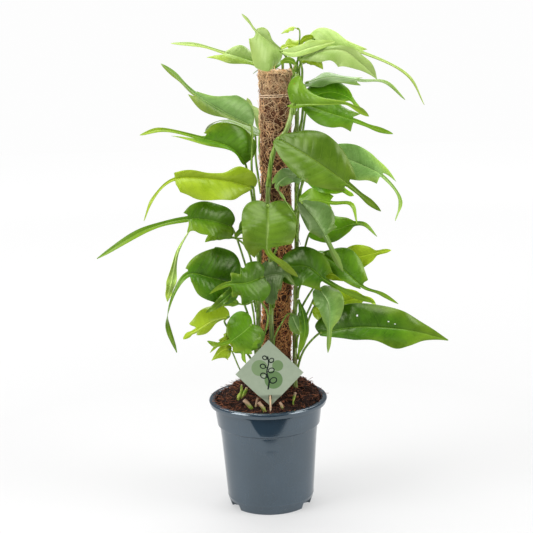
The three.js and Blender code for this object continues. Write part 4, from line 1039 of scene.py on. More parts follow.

# %% [markdown]
# ## Stem finish
#
# The skin is yellow-green with pale and dark streaks along the stem, browner at the foot where
# it has begun to turn woody, and paler near the top, partly as young growth and partly as
# painted light where the tops would look dark in shade. The streaks come from a noise that is
# squeezed along Z, because every stem here runs nearly upright.

# %% Stem finish
stem_skin, tree, shader = new_finish("stem_skin", 0.38, 0.5)
here = place_of(tree)
streaky = grain(tree, place_of(tree, (1, 1, 0.05)), 380, 4)
pale_streaks = grain(tree, place_of(tree, (1, 1, 0.03)), 620, 3)
height = node(tree, "SeparateXYZ", {"Vector": here}).outputs["Z"]
green = blend(tree, ramp(tree, streaky, 0.38, 0.62), seen(82, 108, 28), seen(140, 166, 74))
pale = maths(tree, "MULTIPLY", ramp(tree, pale_streaks, 0.53, 0.66), 0.8)
green = blend(tree, pale, green, seen(188, 204, 146))
corky = ramp(tree, grain(tree, here, 160, 5), 0.48, 0.64)
low_down = ramp(tree, height, 0.2, 0.4, (0.85, 0.15))
green = blend(tree, maths(tree, "MULTIPLY", corky, low_down), green, seen(112, 86, 52))
# Paler towards the top: partly young growth, partly painted light.
green = blend(tree, ramp(tree, height, 0.52, 0.7, (0.0, 0.6)), green, seen(176, 206, 112))
tree.links.new(green, shader.inputs["Base Color"])
relief(tree, shader, streaky, 0.4, 0.0005)
print("stem skin:", len(tree.nodes), "nodes")

# %% Hanging roots
HANGING_ROOTS = [
    [(0, -27, 566), (3, -29, 552), (2, -30, 530), (-1, -29, 500), (1, -28, 486)],
    [(52, -10, 470), (57, -13, 455), (55, -14, 436), (58, -13, 424)],
    [(-8, -27, 372), (-12, -31, 360), (-10, -32, 342)],
]
root_skin, tree, shader = new_finish("root_skin", 0.75, 0.3)
knots = grain(tree, place_of(tree), 500, 5)
two_tone(tree, shader, knots, (0.4, 0.65), (78, 50, 28), (128, 96, 58))
relief(tree, shader, knots, 0.6, 0.0005)
roots_bm = joined([tapering(points, 0.9, 0.55, 8, 24) for points in HANGING_ROOTS])
new_piece("hanging_roots", roots_bm, root_skin)

# %% [markdown]
# ## The shape of a leaf
#
# A young skeleton key leaf is a keyhole: a broad heart near the stalk, two shoulders that end
# in blunt teeth, and a long narrow strap to the tip. Each leaf here is given by a few places on
# the real plant: five points along its midrib, and its widest point on each side. An outline
# then says how far the edge lies from the midrib, row by row, so that one outline serves many
# leaves of the same kind. The first number of a row is where it leaves the midrib, the second
# where it meets the edge (0 is the base, 1 the shoulders and 2 the tip), the third the edge's
# distance as a share of the half width, and the fourth a share of the strap's own half width. A
# row with two more numbers is the point of a tooth.

# %% Outlines
TIP = [(1, 1, 0, 1), (1.3, 1.3, 0, 0.85), (1.62, 1.62, 0, 1.25), (1.86, 1.86, 0, 0.8),
       (2, 2, 0, 0.12)]
OUTLINES = {
    "key": [
        (0, -0.03, 0.06), (0.03, -0.06, 0.42), (0.09, 0.02, 0.74), (0.22, 0.18, 0.95),
        (0.42, 0.42, 1), (0.62, 0.65, 0.9), (0.74, 0.84, 0.72), (0.84, 0.99, 0.54, 0, 0.88, 0.27),
        (0.93, 0.915, 0.24), *TIP],
    "taper": [
        (0, -0.03, 0.06), (0.03, -0.07, 0.42), (0.09, 0.02, 0.75), (0.22, 0.18, 0.96),
        (0.42, 0.42, 1), (0.62, 0.64, 0.86), (0.78, 0.81, 0.6), (0.88, 0.97, 0.36, 0, 0.905, 0.19),
        (0.95, 0.945, 0.16), *TIP],
    "broad": [
        (0, -0.05, 0.07), (0.04, -0.14, 0.42), (0.09, -0.09, 0.76), (0.2, 0.12, 0.98),
        (0.42, 0.42, 1), (0.62, 0.66, 0.96), (0.74, 0.86, 0.86), (0.84, 1.06, 0.62, 0, 0.87, 0.3),
        (0.93, 0.93, 0.22), *TIP],
    "heart": [
        (0, -0.05, 0.07), (0.04, -0.17, 0.4), (0.09, -0.12, 0.76), (0.2, 0.1, 0.98),
        (0.4, 0.4, 0.97), (0.62, 0.66, 0.82), (0.75, 0.84, 0.6), (0.85, 0.98, 0.4, 0, 0.89, 0.2),
        (0.94, 0.93, 0.18), *TIP],
    "drip": [
        (0, -0.03, 0.06), (0.03, -0.05, 0.4), (0.1, 0.04, 0.74), (0.25, 0.22, 0.96),
        (0.45, 0.45, 1), (0.65, 0.67, 0.84), (0.82, 0.85, 0.58), (0.94, 0.96, 0.34),
        (1.08, 1.08, 0.1, 0.6), (1.35, 1.35, 0, 1), (1.7, 1.7, 0, 0.9), (2, 2, 0, 0.12)],
    "lance": [
        (0, -0.02, 0.05), (0.02, -0.06, 0.36), (0.09, 0.03, 0.68), (0.24, 0.22, 0.9),
        (0.45, 0.46, 1), (0.72, 0.73, 0.94), (1, 1.01, 0.78), (1.28, 1.29, 0.56),
        (1.56, 1.56, 0.34), (1.82, 1.82, 0.15), (2, 2, 0.02)],
    "lobed": [
        (0, -0.04, 0.07), (0.04, -0.14, 0.46), (0.12, -0.02, 0.86), (0.26, 0.22, 1),
        (0.4, 0.39, 0.8), (0.52, 0.6, 0.9), (0.66, 0.64, 0.5), (0.78, 0.88, 0.58),
        (0.9, 0.88, 0.24), (1, 1, 0, 1), (1.4, 1.4, 0, 1), (2, 2, 0, 0.12)],
    "narrow": [
        (0, 0, 0.12), (0.25, 0.25, 0.55), (0.6, 0.6, 0.95), (1, 1, 1), (1.4, 1.4, 0.8),
        (1.75, 1.75, 0.45), (2, 2, 0.06)],
    "droplet": [
        (0, 0, 0.12), (0.25, 0.25, 0.2), (0.6, 0.6, 0.45), (1, 1, 1), (1.4, 1.4, 0.9),
        (1.75, 1.75, 0.5), (2, 2, 0.06)],
    "spade": [
        (0, -0.05, 0.07), (0.04, -0.12, 0.5), (0.07, -0.04, 0.9), (0.13, 0.09, 1),
        (0.2, 0.17, 0.72), (0.32, 0.3, 0.44), (0.5, 0.49, 0.26), (0.72, 0.72, 0.16),
        (0.95, 0.95, 0.1), *TIP[1:]],
    "oval": [
        (0, 0, 0.05), (0.03, 0.02, 0.22), (0.1, 0.1, 0.46), (0.24, 0.24, 0.8), (0.44, 0.44, 1),
        (0.62, 0.64, 0.93), (0.77, 0.81, 0.7), (0.87, 0.97, 0.38, 0, 0.9, 0.24),
        (0.95, 0.95, 0.22), *TIP],
    "full": [
        (0, -0.02, 0.06), (0.03, -0.01, 0.32), (0.1, 0.08, 0.54), (0.24, 0.22, 0.78),
        (0.42, 0.42, 0.96), (0.6, 0.62, 1), (0.75, 0.79, 0.74), (0.86, 0.97, 0.4, 0, 0.9, 0.3),
        (0.95, 0.95, 0.26), *TIP],
    "late": [
        (0, 0, 0.05), (0.03, 0.03, 0.12), (0.1, 0.1, 0.18), (0.24, 0.24, 0.28),
        (0.43, 0.44, 0.52), (0.6, 0.64, 0.9), (0.74, 0.8, 1), (0.85, 0.98, 0.5, 0, 0.92, 0.3),
        (0.94, 0.95, 0.3), *TIP],
    "wide": [
        (0, 0, 0.05), (0.03, 0.04, 0.2), (0.1, 0.12, 0.44), (0.24, 0.24, 0.8), (0.42, 0.4, 0.92),
        (0.6, 0.64, 1), (0.75, 0.82, 0.78), (0.86, 0.97, 0.5, 0, 0.9, 0.3), (0.95, 0.97, 0.26),
        *TIP],
    "saddle": [
        (0, -0.03, 0.06), (0.03, -0.03, 0.4), (0.1, 0.06, 0.82), (0.22, 0.21, 1),
        (0.4, 0.4, 0.42), (0.58, 0.58, 0.32), (0.74, 0.77, 0.42),
        (0.86, 0.96, 0.32, 0, 0.9, 0.2), (0.95, 0.95, 0.2), *TIP],
    "fall": [
        (0, -0.03, 0.06), (0.03, 0, 0.4), (0.1, 0.08, 0.72), (0.22, 0.22, 0.96), (0.38, 0.38, 1),
        (0.54, 0.55, 0.72), (0.7, 0.72, 0.38), (0.84, 0.97, 0.2, 0, 0.88, 0.12),
        (0.95, 0.95, 0.13), *TIP],
    "tongue": [
        (0, 0, 0.06), (0.03, 0.01, 0.36), (0.1, 0.09, 0.42), (0.24, 0.24, 0.4),
        (0.42, 0.43, 0.44), (0.6, 0.68, 0.62), (0.74, 1, 0.95), (0.84, 1.3, 0.8, 0, 1.04, 0.5),
        (0.94, 1.08, 0.42), *TIP],
    "trowel": [
        (0, -0.02, 0.05), (0.02, 0, 0.2), (0.09, 0.08, 0.36), (0.24, 0.24, 0.46),
        (0.45, 0.45, 0.48), (0.72, 0.72, 0.5), (1, 1, 0.66), (1.28, 1.29, 0.94), (1.56, 1.57, 1),
        (1.82, 1.83, 0.6), (2, 2, 0.04)],
    "wavy": [
        (0, 0, 0.05), (0.02, 0.01, 0.14), (0.09, 0.09, 0.24), (0.24, 0.24, 0.42),
        (0.45, 0.45, 0.64), (0.72, 0.72, 0.68), (1, 0.99, 1), (1.28, 1.27, 0.78),
        (1.56, 1.56, 0.36), (1.82, 1.82, 0.12), (2, 2, 0.02)],
}
print("outlines:", ", ".join(OUTLINES))

# %% [markdown]
# ## The leaves
#
# One entry a leaf: its name, its tone, its outline, the stem that it grows on, the height in mm
# and the compass turn in degrees at which its stalk leaves the stem, the stalk's bends, the
# midrib's five points, and the widest points on the left and the right, seen from the upper
# face with the tip ahead. Two outlines with a stroke between them are for a leaf with unlike
# halves. SHADES makes a leaf and each of its halves lighter (above 0, where 1 is twice as light)
# or darker. That is partly the leaf's own green and partly painted light and shade: each half
# of a folded blade carries the light or shade that falls on it, and a leaf that faces the lamps
# is made darker, one in the shade of others lighter. YOUNG says how yellow-green its teeth and
# tip are, and each half. THICK_STALKS says how many times STALK_R the stouter stalks measure at
# the foot, and PINHOLES where an old leaf has its holes, in mm and seen from the front.

# %% Leaf shades
# Painted light and shade along with each leaf's own green: a lighter or darker leaf, and each half.
SHADES = {
    "leaf_01_crown_tall": (-0.1, 0.1, -0.1), "leaf_02_crown_left": (-0.1, 0.2, -0.1),
    "leaf_04_crown_young": (-0.1, 0, 0), "leaf_05_crown_arch": (-0.2, 0.3, -0.2),
    "leaf_06_crown_front": (-0.5, 0.1, 0.3), "leaf_07_high_right": (-0.1, 0.5, 0.2),
    "leaf_08_high_right_back": (0.8, 0.2, 0), "leaf_09_high_front": (-0.2, 0, 0.3),
    "leaf_10_upper_right": (-0.2, 0.1, 0), "leaf_11_upper_left": (0.1, -0.4, 0.2),
    "leaf_12_behind_pole": (-0.6, 0, 0), "leaf_13_left_long_tip": (-0.1, 0.2, -0.1),
    "leaf_14_left_lime": (-0.2, 0.1, 0), "leaf_15_left_strap": (-0.5, 0.4, 0),
    "leaf_16_hanging_left": (0.5, 0, 0), "leaf_17_left_folded": (0.1, 0.1, -0.1),
    "leaf_18_left_inner": (-0.6, 0, 0), "leaf_19_front_heart": (-0.8, 0.1, -0.1),
    "leaf_20_front_large": (-0.9, -0.1, 0.1), "leaf_21_front_small": (-0.1, 0, 0.1),
    "leaf_22_right_far": (0.6, 0.2, 0.1), "leaf_23_right_under": (0.9, 0.3, 0),
    "leaf_24_right_pale": (0.3, 0.2, 0), "leaf_25_right_grey": (-0.6, 0.4, -0.4),
    "leaf_26_right_dark": (0, 0.3, 0), "leaf_27_right_drooping": (-0.3, 0.1, 0),
    "leaf_28_right_lime": (0.4, 0, 0), "leaf_29_centre_right": (-0.2, 0, 0.1),
    "leaf_30_right_hanging": (0.1, 0.2, -0.2), "leaf_31_right_low_lime": (0.7, 0, 0),
    "leaf_32_right_long": (-0.2, -0.1, 0.4), "leaf_33_hanging_right": (0.2, 0, 0),
    "leaf_34_centre_star": (-0.5, 0, -0.1), "leaf_35_centre_low": (-1.2, 0, 0.1),
    "leaf_36_left_dark_strap": (-0.1, 0, 0), "leaf_37_low_left": (0, -0.4, 0.2),
    "leaf_38_low_heart": (0, 0, 0.1), "leaf_40_back_high_left": (-0.8, 0, 0),
}
YOUNG = {
    "leaf_02_crown_left": (0.2, 0.7, 0), "leaf_05_crown_arch": (0.5, 0, 0.3),
    "leaf_06_crown_front": (0.1, 0, 0), "leaf_09_high_front": (0.5, 0, 0.2),
    "leaf_11_upper_left": (0.25, 0.5, 0), "leaf_13_left_long_tip": (0.9, 0, 0),
    "leaf_15_left_strap": (0.2, 0.3, 0), "leaf_16_hanging_left": (0.6, 0.4, 0),
    "leaf_19_front_heart": (0.8, 0, 0), "leaf_20_front_large": (0.25, 0, 0),
    "leaf_22_right_far": (0.5, 0, 0), "leaf_27_right_drooping": (0.4, 0, 0),
    "leaf_34_centre_star": (0.7, 0, 0), "leaf_37_low_left": (0.4, 0, 0.3),
    "leaf_38_low_heart": (0.6, 0.1, 0), "leaf_30_right_hanging": (0.3, 0.2, 0),
}
THICK_STALKS = {
    "leaf_20_front_large": 1.9, "leaf_19_front_heart": 1.5, "leaf_09_high_front": 1.5,
    "leaf_10_upper_right": 1.3, "leaf_32_right_long": 1.15, "leaf_21_front_small": 1.2,
    "leaf_14_left_lime": 1.25, "leaf_11_upper_left": 1.25, "leaf_13_left_long_tip": 1.2,
}
STALK_THICK, SMALL_STALK_THICK = 1.05, 0.6
HOLE_MARGIN = 0.55
PINHOLES = {
    "leaf_32_right_long": [
        (138, 326), (184, 318), (193, 313), (228, 313), (238, 309), (246, 307), (233, 301),
        (254, 299), (275, 302)],
}
print("leaves with a shade of their own:", len(SHADES))

# %% Leaf places
def leaf(name, tone, outline, vine, z, turn, via, rib, left, right, **more):
    """One leaf's facts under plain names."""
    facts = {
        "name": name, "tone": tone, "outline": outline, "vine": vine, "z": z, "turn": turn,
        "via": via, "rib": rib, "left": left, "right": right,
        "strap": 3.6, "wave": 3, "bow": 0.1, "small": False, "grown": False,
        "left_point": None, "right_point": None,
        "shade": SHADES.get(name, (0, 0, 0)), "young": YOUNG.get(name, (0.35, 0, 0)),
    }
    facts.update(more)
    return facts


LEAVES = [
    # Crown
    leaf("leaf_01_crown_tall", "pale", "full/late", "vine_back_right", 668, -60,
      [[50, 2, 700], [41, -14, 716]],
      [[38, -20, 721], [19, -40, 735], [-2, -56, 753], [-11, -62, 766], [-21, -65, 777]],
      [-7, -66, 703], [23, -34, 746], strap=2, left_point=[1.05, 0.4], right_point=[0.98, 0.3]),
    leaf("leaf_02_crown_left", "pale", "tongue/oval", "vine_back_left", 650, 14, [[20, 23, 702]],
      [[12, -14, 700], [-17, -32, 711], [-50, -38, 722], [-87, -43, 734], [-127, -48, 738]],
      [-48, -52, 706], [-12, -14, 727], strap=3, left_point=[1.3, 0.9], right_point=[0.96, 0.2]),
    leaf("leaf_03_crown_back", "deep", "drip", "vine_back_right", 672, 175, [],
      [[38, 27, 704], [24, 46, 704], [8, 60, 698], [0, 66, 692], [-8, 70, 686]],
      [12, 38, 694], [42, 62, 706], small=True),
    leaf("leaf_04_crown_young", "lime", "drip", "vine_back_right", 672, 40, [[66, 16, 716]],
      [[68, 0, 727], [54, -3, 730], [44, -6, 729], [39, -9, 727], [35, -11, 724]],
      [52, -10, 720], [52, 8, 739], small=True),
    leaf("leaf_05_crown_arch", "pale", "fall/taper", "vine_back_right", 640, 0, [[64, 9, 698]],
      [[68, -17, 706], [110, -30, 727], [161, -38, 714], [223, -47, 680], [246, -52, 637]],
      [98, -12, 753], [113, -50, 716], strap=3, left_point=[1, 0.25]),
    leaf("leaf_06_crown_front", "lime", "trowel/wavy", "vine_front", 650, -10, [[66, -41, 692]],
      [[63, -48, 711], [93, -62, 720], [126, -73, 720], [152, -78, 700], [173, -80, 678]],
      [128, -70, 730], [115, -77, 698]),
    leaf("leaf_07_high_right", "grey", "key", "vine_right", 600, 20, [[70, 1, 650]],
      [[73, 0, 672], [106, -10, 680], [157, -20, 674], [191, -26, 671], [220, -32, 644]],
      [117, 4, 685], [130, -26, 667], small=True),
    leaf("leaf_08_high_right_back", "deep", "drip", "vine_right", 566, -30, [[70, -12, 625]],
      [[75, -12, 650], [108, -14, 658], [138, -18, 648], [147, -20, 638], [156, -22, 627]],
      [114, 2, 678], [104, -24, 640], small=True),
    leaf("leaf_09_high_front", "bright", "spade", "vine_front", 628, -60, [],
      [[51, -54, 644], [90, -78, 644], [127, -90, 643], [144, -92, 636], [160, -90, 625]],
      [59, -52, 685], [64, -60, 638], wave=1, bow=0.16),
    leaf("leaf_10_upper_right", "mid", "key/full", "vine_right", 556, -85, [[64, -26, 616]],
      [[68, -36, 642], [105, -52, 629], [144, -58, 616], [171, -60, 605], [198, -62, 596]],
      [122, -38, 642], [97, -58, 610], left_point=[1.03, 0.6], right_point=[0.96, 0.78]),
    # Left side, from the top down
    leaf("leaf_11_upper_left", "grey", "late/fall", "vine_left", 476, -155, [[-14, -34, 545]],
      [[-13, -32, 612], [-52, -48, 635], [-97, -58, 666], [-119, -61, 689], [-142, -62, 709]],
      [-83, -62, 639], [-30, -30, 658], left_point=[1.06, 0.55], right_point=[0.96, 0.14]),
    leaf("leaf_12_behind_pole", "pale", "drip", "vine_back_left", 530, 125, [[-2, 38, 575]],
      [[0, 42, 602], [-6, 56, 619], [-13, 68, 636], [-16, 72, 642], [-19, 76, 648]],
      [-12, 56, 625], [4, 62, 626], small=True),
    leaf("leaf_13_left_long_tip", "mid", "tongue/key", "vine_left", 440, 180, [[-15, -24, 500]],
      [[-24, -26, 555], [-43, -42, 580], [-90, -52, 598], [-148, -56, 612], [-179, -56, 605]],
      [-82, -57, 586], [-18, -28, 604],
      strap=3.2, left_point=[1.34, 0.7], right_point=[0.96, 0.24]),
    leaf("leaf_14_left_lime", "lime", "wide/saddle", "vine_left", 410, -120, [[-12, -36, 480]],
      [[-13, -42, 520], [-72, -64, 537], [-132, -78, 539], [-162, -80, 512], [-177, -80, 479]],
      [-83, -84, 508], [-36, -52, 555],
      strap=2.4, wave=5, left_point=[0.94, 0.64], right_point=[0.95, 0.36]),
    leaf("leaf_15_left_strap", "mid", "key", "vine_left", 330, 190, [[-30, -36, 405]],
      [[-48, -48, 462], [-83, -66, 476], [-117, -77, 479], [-175, -88, 467], [-248, -95, 427]],
      [-84, -80, 454], [-84, -54, 503], strap=4.6, left_point=[1, 0.84], right_point=[0.99, 0.36]),
    leaf("leaf_16_hanging_left", "pale", "droplet", "vine_left", 360, 160, [[-32, -16, 430]],
      [[-113, -10, 453], [-133, -22, 420], [-143, -34, 378], [-148, -38, 360], [-151, -42, 346]],
      [-148, -36, 379], [-137, -32, 378], small=True),
    leaf("leaf_17_left_folded", "deep", "taper", "vine_left", 270, -135, [[-30, -36, 330]],
      [[-44, -50, 372], [-79, -74, 388], [-116, -86, 396], [-148, -92, 332], [-136, -92, 278]],
      [-71, -84, 350], [-74, -56, 434], strap=4.4, right_point=[0.97, 0.2]),
    leaf("leaf_18_left_inner", "deep", "drip", "vine_left", 380, -90, [[-8, -40, 425]],
      [[-10, -44, 453], [-24, -51, 457], [-34, -55, 455], [-39, -57, 451], [-43, -58, 446]],
      [-25, -57, 440], [-26, -46, 475], small=True),
    # Front and right side, from the top down
    leaf("leaf_19_front_heart", "bright", "broad", "vine_front", 430, -90, [[10, -50, 475]],
      [[9, -70, 496], [8, -96, 469], [7, -106, 432], [27, -110, 414], [50, -108, 393]],
      [50, -88, 464], [-31, -88, 470], strap=4.4, left_point=[1.02, 0.58], right_point=[1, 0.56]),
    leaf("leaf_20_front_large", "bright", "oval/full", "vine_front", 520, -90, [[18, -46, 565]],
      [[27, -52, 594], [79, -84, 563], [130, -98, 525], [153, -100, 505], [175, -100, 486]],
      [99, -72, 598], [61, -92, 535], strap=4, left_point=[1.03, 0.3], right_point=[1, 0.3]),
    leaf("leaf_21_front_small", "grey", "key", "vine_right", 476, -100, [[55, -36, 518]],
      [[57, -50, 534], [38, -64, 537], [23, -73, 525], [35, -82, 504], [49, -91, 482]],
      [32, -74, 518], [34, -60, 550], small=True),
    leaf("leaf_22_right_far", "bright", "oval/taper", "vine_right", 500, -15, [[76, -18, 548]],
      [[94, -22, 572], [143, -38, 553], [185, -48, 530], [209, -54, 495], [201, -56, 464]],
      [145, -30, 578], [143, -46, 522],
      strap=2.6, left_point=[1.2, 0.34], right_point=[0.98, 0.5]),
    leaf("leaf_23_right_under", "deep", "drip", "vine_right", 486, -55, [[64, -31, 530]],
      [[70, -41, 545], [101, -56, 527], [122, -64, 515], [131, -66, 509], [138, -67, 506]],
      [116, -50, 536], [95, -64, 508], small=True),
    leaf("leaf_24_right_pale", "bright", "key", "vine_right", 430, -90, [[55, -32, 470]],
      [[59, -46, 494], [82, -56, 499], [107, -62, 495], [134, -66, 493], [142, -68, 464]],
      [81, -46, 516], [84, -62, 485], small=True, strap=3),
    leaf("leaf_25_right_grey", "grey", "oval/full", "vine_front", 396, -45, [[40, -52, 462]],
      [[59, -60, 498], [80, -84, 472], [93, -98, 450], [104, -108, 426], [117, -112, 399]],
      [104, -78, 487], [57, -74, 473], strap=4, left_point=[0.9, 0.75], right_point=[0.98, 0.4]),
    leaf("leaf_26_right_dark", "mid", "drip", "vine_right", 370, -20, [[64, -18, 418]],
      [[74, -26, 446], [111, -32, 449], [138, -38, 458], [155, -42, 458], [174, -46, 439]],
      [117, -18, 471], [99, -38, 431], small=True),
    leaf("leaf_27_right_drooping", "mid", "oval/full", "vine_right", 340, -50, [[70, -38, 390]],
      [[89, -52, 416], [118, -68, 396], [150, -76, 367], [175, -77, 357], [202, -78, 340]],
      [133, -60, 422], [106, -72, 388], strap=2.6, left_point=[1, 0.42], right_point=[0.98, 0.3]),
    leaf("leaf_28_right_lime", "lime", "drip", "vine_right", 300, 20, [[84, -6, 362]],
      [[120, -2, 392], [150, -13, 402], [174, -19, 408], [186, -22, 411], [198, -24, 413]],
      [144, -4, 419], [152, -20, 384], small=True),
    leaf("leaf_29_centre_right", "deep", "key", "vine_front", 330, -45, [[24, -42, 370]],
      [[31, -46, 397], [67, -68, 399], [94, -84, 380], [128, -92, 362], [165, -96, 347]],
      [71, -58, 427], [56, -78, 370], strap=4),
    leaf("leaf_30_right_hanging", "grey", "drip", "vine_right", 260, -60, [[68, -44, 328]],
      [[84, -66, 364], [96, -84, 344], [96, -94, 312], [95, -96, 292], [93, -94, 271]],
      [120, -80, 346], [74, -80, 348]),
    leaf("leaf_31_right_low_lime", "lime", "drip", "vine_right", 240, -10, [[64, -19, 295]],
      [[78, -24, 328], [119, -44, 338], [149, -54, 345], [161, -58, 343], [170, -60, 335]],
      [124, -38, 360], [107, -50, 306], small=True),
    leaf("leaf_32_right_long", "deep", "lance/wavy", "vine_right", 214, -50, [[60, -34, 262]],
      [[83, -52, 291], [137, -84, 307], [199, -98, 306], [236, -100, 299], [274, -102, 287]],
      [165, -76, 342], [200, -104, 279], wave=4),
    leaf("leaf_33_hanging_right", "deep", "narrow", "vine_right", 280, -95, [[48, -38, 328]],
      [[52, -54, 345], [58, -62, 323], [60, -64, 300], [56, -63, 279], [48, -61, 258]],
      [66, -62, 308], [52, -62, 308], small=True),
    # Low left
    leaf("leaf_34_centre_star", "mid", "lobed", "vine_left", 310, -100, [[-14, -60, 370]],
      [[-3, -84, 389], [-29, -100, 384], [-54, -108, 385], [-69, -111, 380], [-82, -113, 372]],
      [-24, -106, 350], [-26, -88, 412]),
    leaf("leaf_35_centre_low", "grey", "lobed", "vine_front", 320, -100, [[2, -52, 366]],
      [[-3, -62, 384], [15, -74, 391], [33, -82, 391], [40, -84, 383], [47, -86, 374]],
      [12, -64, 412], [16, -84, 348], small=True),
    leaf("leaf_36_left_dark_strap", "deep", "narrow", "vine_left", 250, -60,
      [[4, -48, 320], [-12, -68, 356]],
      [[-28, -78, 376], [-48, -90, 369], [-61, -94, 359], [-75, -96, 348], [-89, -97, 340]],
      [-51, -93, 360], [-46, -87, 378], small=True),
    leaf("leaf_37_low_left", "lime", "late/key", "vine_left", 225, 190,
      [[-50, -30, 285], [-64, -42, 312]],
      [[-56, -54, 322], [-81, -78, 322], [-107, -90, 310], [-115, -94, 307], [-125, -97, 300]],
      [-88, -90, 308], [-92, -66, 341],
      small=True, left_point=[1.08, 0.6], right_point=[1.06, 0.6]),
    leaf("leaf_38_low_heart", "bright", "heart", "vine_left", 215, -90, [[-19, -43, 275]],
      [[-21, -50, 308], [-38, -60, 296], [-57, -68, 286], [-77, -72, 283], [-90, -75, 290]],
      [-14, -56, 270], [-50, -40, 322], left_point=[1.02, 0.5]),
    # Back
    leaf("leaf_39_back_high_right", "mid", "key", "vine_back_right", 560, 50, [[58, 38, 610]],
      [[64, 48, 642], [92, 74, 654], [116, 98, 646], [132, 116, 628], [142, 128, 606]],
      [68, 98, 648], [116, 54, 650], small=True),
    leaf("leaf_40_back_high_left", "bright", "key", "vine_back_left", 500, 160, [[-8, 40, 555]],
      [[-8, 52, 590], [-34, 78, 606], [-60, 100, 612], [-78, 114, 606], [-90, 126, 594]],
      [-56, 58, 598], [-14, 98, 606], small=True),
    leaf("leaf_41_back_middle", "mid", "key", "vine_back_right", 490, 110, [[36, 50, 535]],
      [[36, 60, 562], [46, 98, 582], [56, 132, 576], [62, 152, 558], [66, 166, 532]],
      [14, 106, 576], [80, 90, 578], small=True),
    leaf("leaf_42_back_right", "deep", "key", "vine_back_right", 410, 50, [[54, 44, 480]],
      [[62, 52, 520], [90, 84, 540], [114, 112, 534], [130, 130, 518], [142, 142, 494]],
      [62, 106, 536], [116, 62, 538], small=True),
    leaf("leaf_43_back_left", "mid", "key", "vine_back_left", 380, 130, [[-12, 44, 430]],
      [[0, 56, 446], [-8, 84, 462], [-14, 108, 466], [-18, 124, 458], [-22, 138, 440]],
      [-28, 70, 456], [16, 98, 462], small=True),
    leaf("leaf_44_back_low_right", "mid", "key", "vine_back_right", 250, 60, [[50, 46, 332]],
      [[58, 56, 376], [80, 92, 392], [98, 122, 384], [110, 142, 366], [118, 156, 342]],
      [52, 110, 386], [108, 74, 388], small=True),
    leaf("leaf_45_back_low_left", "bright", "key", "vine_back_left", 240, 130, [[-20, 46, 305]],
      [[-28, 58, 342], [-54, 86, 362], [-76, 110, 360], [-90, 128, 346], [-100, 142, 322]],
      [-78, 64, 356], [-32, 108, 360], small=True),
]
print("leaves:", len(LEAVES))

# %% [markdown]
# ## From outline to blade
#
# The rows above are too few for a smooth edge, so a curve is drawn through them, broken only at
# a tooth's point. Across the blade the columns crowd towards the midrib, where the groove needs
# them. Then the blade gets its life: it arches on each side of the midrib, its edge waves,
# it sinks along the midrib and swells between the side veins.

# %% Rows and columns
COLUMNS = np.array(
    (0, 0.012, 0.028, 0.05, 0.085, 0.13, 0.19, 0.26, 0.34, 0.43, 0.52, 0.61, 0.7, 0.79, 0.87,
     0.935, 0.975, 1.0))
INNER = 0.52


def fine_rows(outline, point, count):
    """The outline's rows for one side, drawn finer: leaving, inner and edge places and widths."""
    rows, corner = [], None
    for k, row in enumerate(OUTLINES[outline]):
        um, ue, ve = row[:3]
        strap = row[3] if len(row) > 3 else 0
        ui, vi = um + 0.4 * (ue - um), INNER * ve
        if len(row) > 4:
            corner = k
            ue, ve = point or (ue, ve)
            ui, vi = row[4:]
        rows.append((um, ui, vi, ue, ve, strap))
    pieces = [rows] if corner is None else [rows[: corner + 1], rows[corner:]]
    share = 1.0 if corner is None else 0.62
    made = []
    first = int(count * share)
    for piece, steps in zip(pieces, (first, count - first)):
        made.append(curve_through(piece)(np.linspace(0, 1, steps + 1)))
    if len(made) == 2:
        made[1] = made[1][1:]
    return np.vstack(made)


def through_three(a, b, c, w):
    """A parabola with the values a, b and c at 0, INNER and 1."""
    bend = ((b - a) - INNER * (c - a)) / (INNER**2 - INNER)
    return a + (c - a - bend) * w + bend * w**2


print("columns across half a blade:", len(COLUMNS))

# %% Midrib and ways across
class Blade:
    """A leaf's midrib and the ways across it, as functions of u."""

    def __init__(self, facts):
        rib = np.array(facts["rib"], float)
        self.curve = curve_through(rib)
        self.half = np.linalg.norm(rib[1] - rib[0]) * 2
        self.left = self.reach(facts["left"])
        self.right = self.reach(facts["right"])

    def tangent(self, u):
        """The midrib's direction."""
        t = np.clip(np.asarray(u, float) / 2, 0.004, 0.996)
        return unit(self.curve(t + 0.004) - self.curve(t - 0.004))

    def rib(self, u):
        """A place on the midrib; below 0 it lies before the base, on a straight line."""
        u = np.asarray(u, float)
        before = np.minimum(u, 0)[..., None] * self.half * self.tangent(0.0)
        return self.curve(np.clip(u / 2, 0, 1)) + before

    def reach(self, widest):
        """The way from the nearest place on the midrib to the widest point of a side."""
        u = np.arange(0.1, 0.95, 0.02)
        ways = np.array(widest, float) - self.rib(u)
        return ways[np.argmin(np.linalg.norm(ways, axis=1))]

    def across(self, way, u):
        """A way turned square to the midrib."""
        t = self.tangent(np.maximum(u, 0))
        return unit(way - t * np.sum(way * t, axis=-1, keepdims=True))

    def flat(self, u):
        """The way across the whole blade, towards its left."""
        return self.across(unit(self.left) - unit(self.right), u)


print("the first leaf's half width:", np.linalg.norm(Blade(LEAVES[0]).left).round(1), "mm")

# %% Blade
SIDE_VEINS = 9
QUILT, GROOVE = 0.75, 0.55
EDGE_WAVES = 9.5


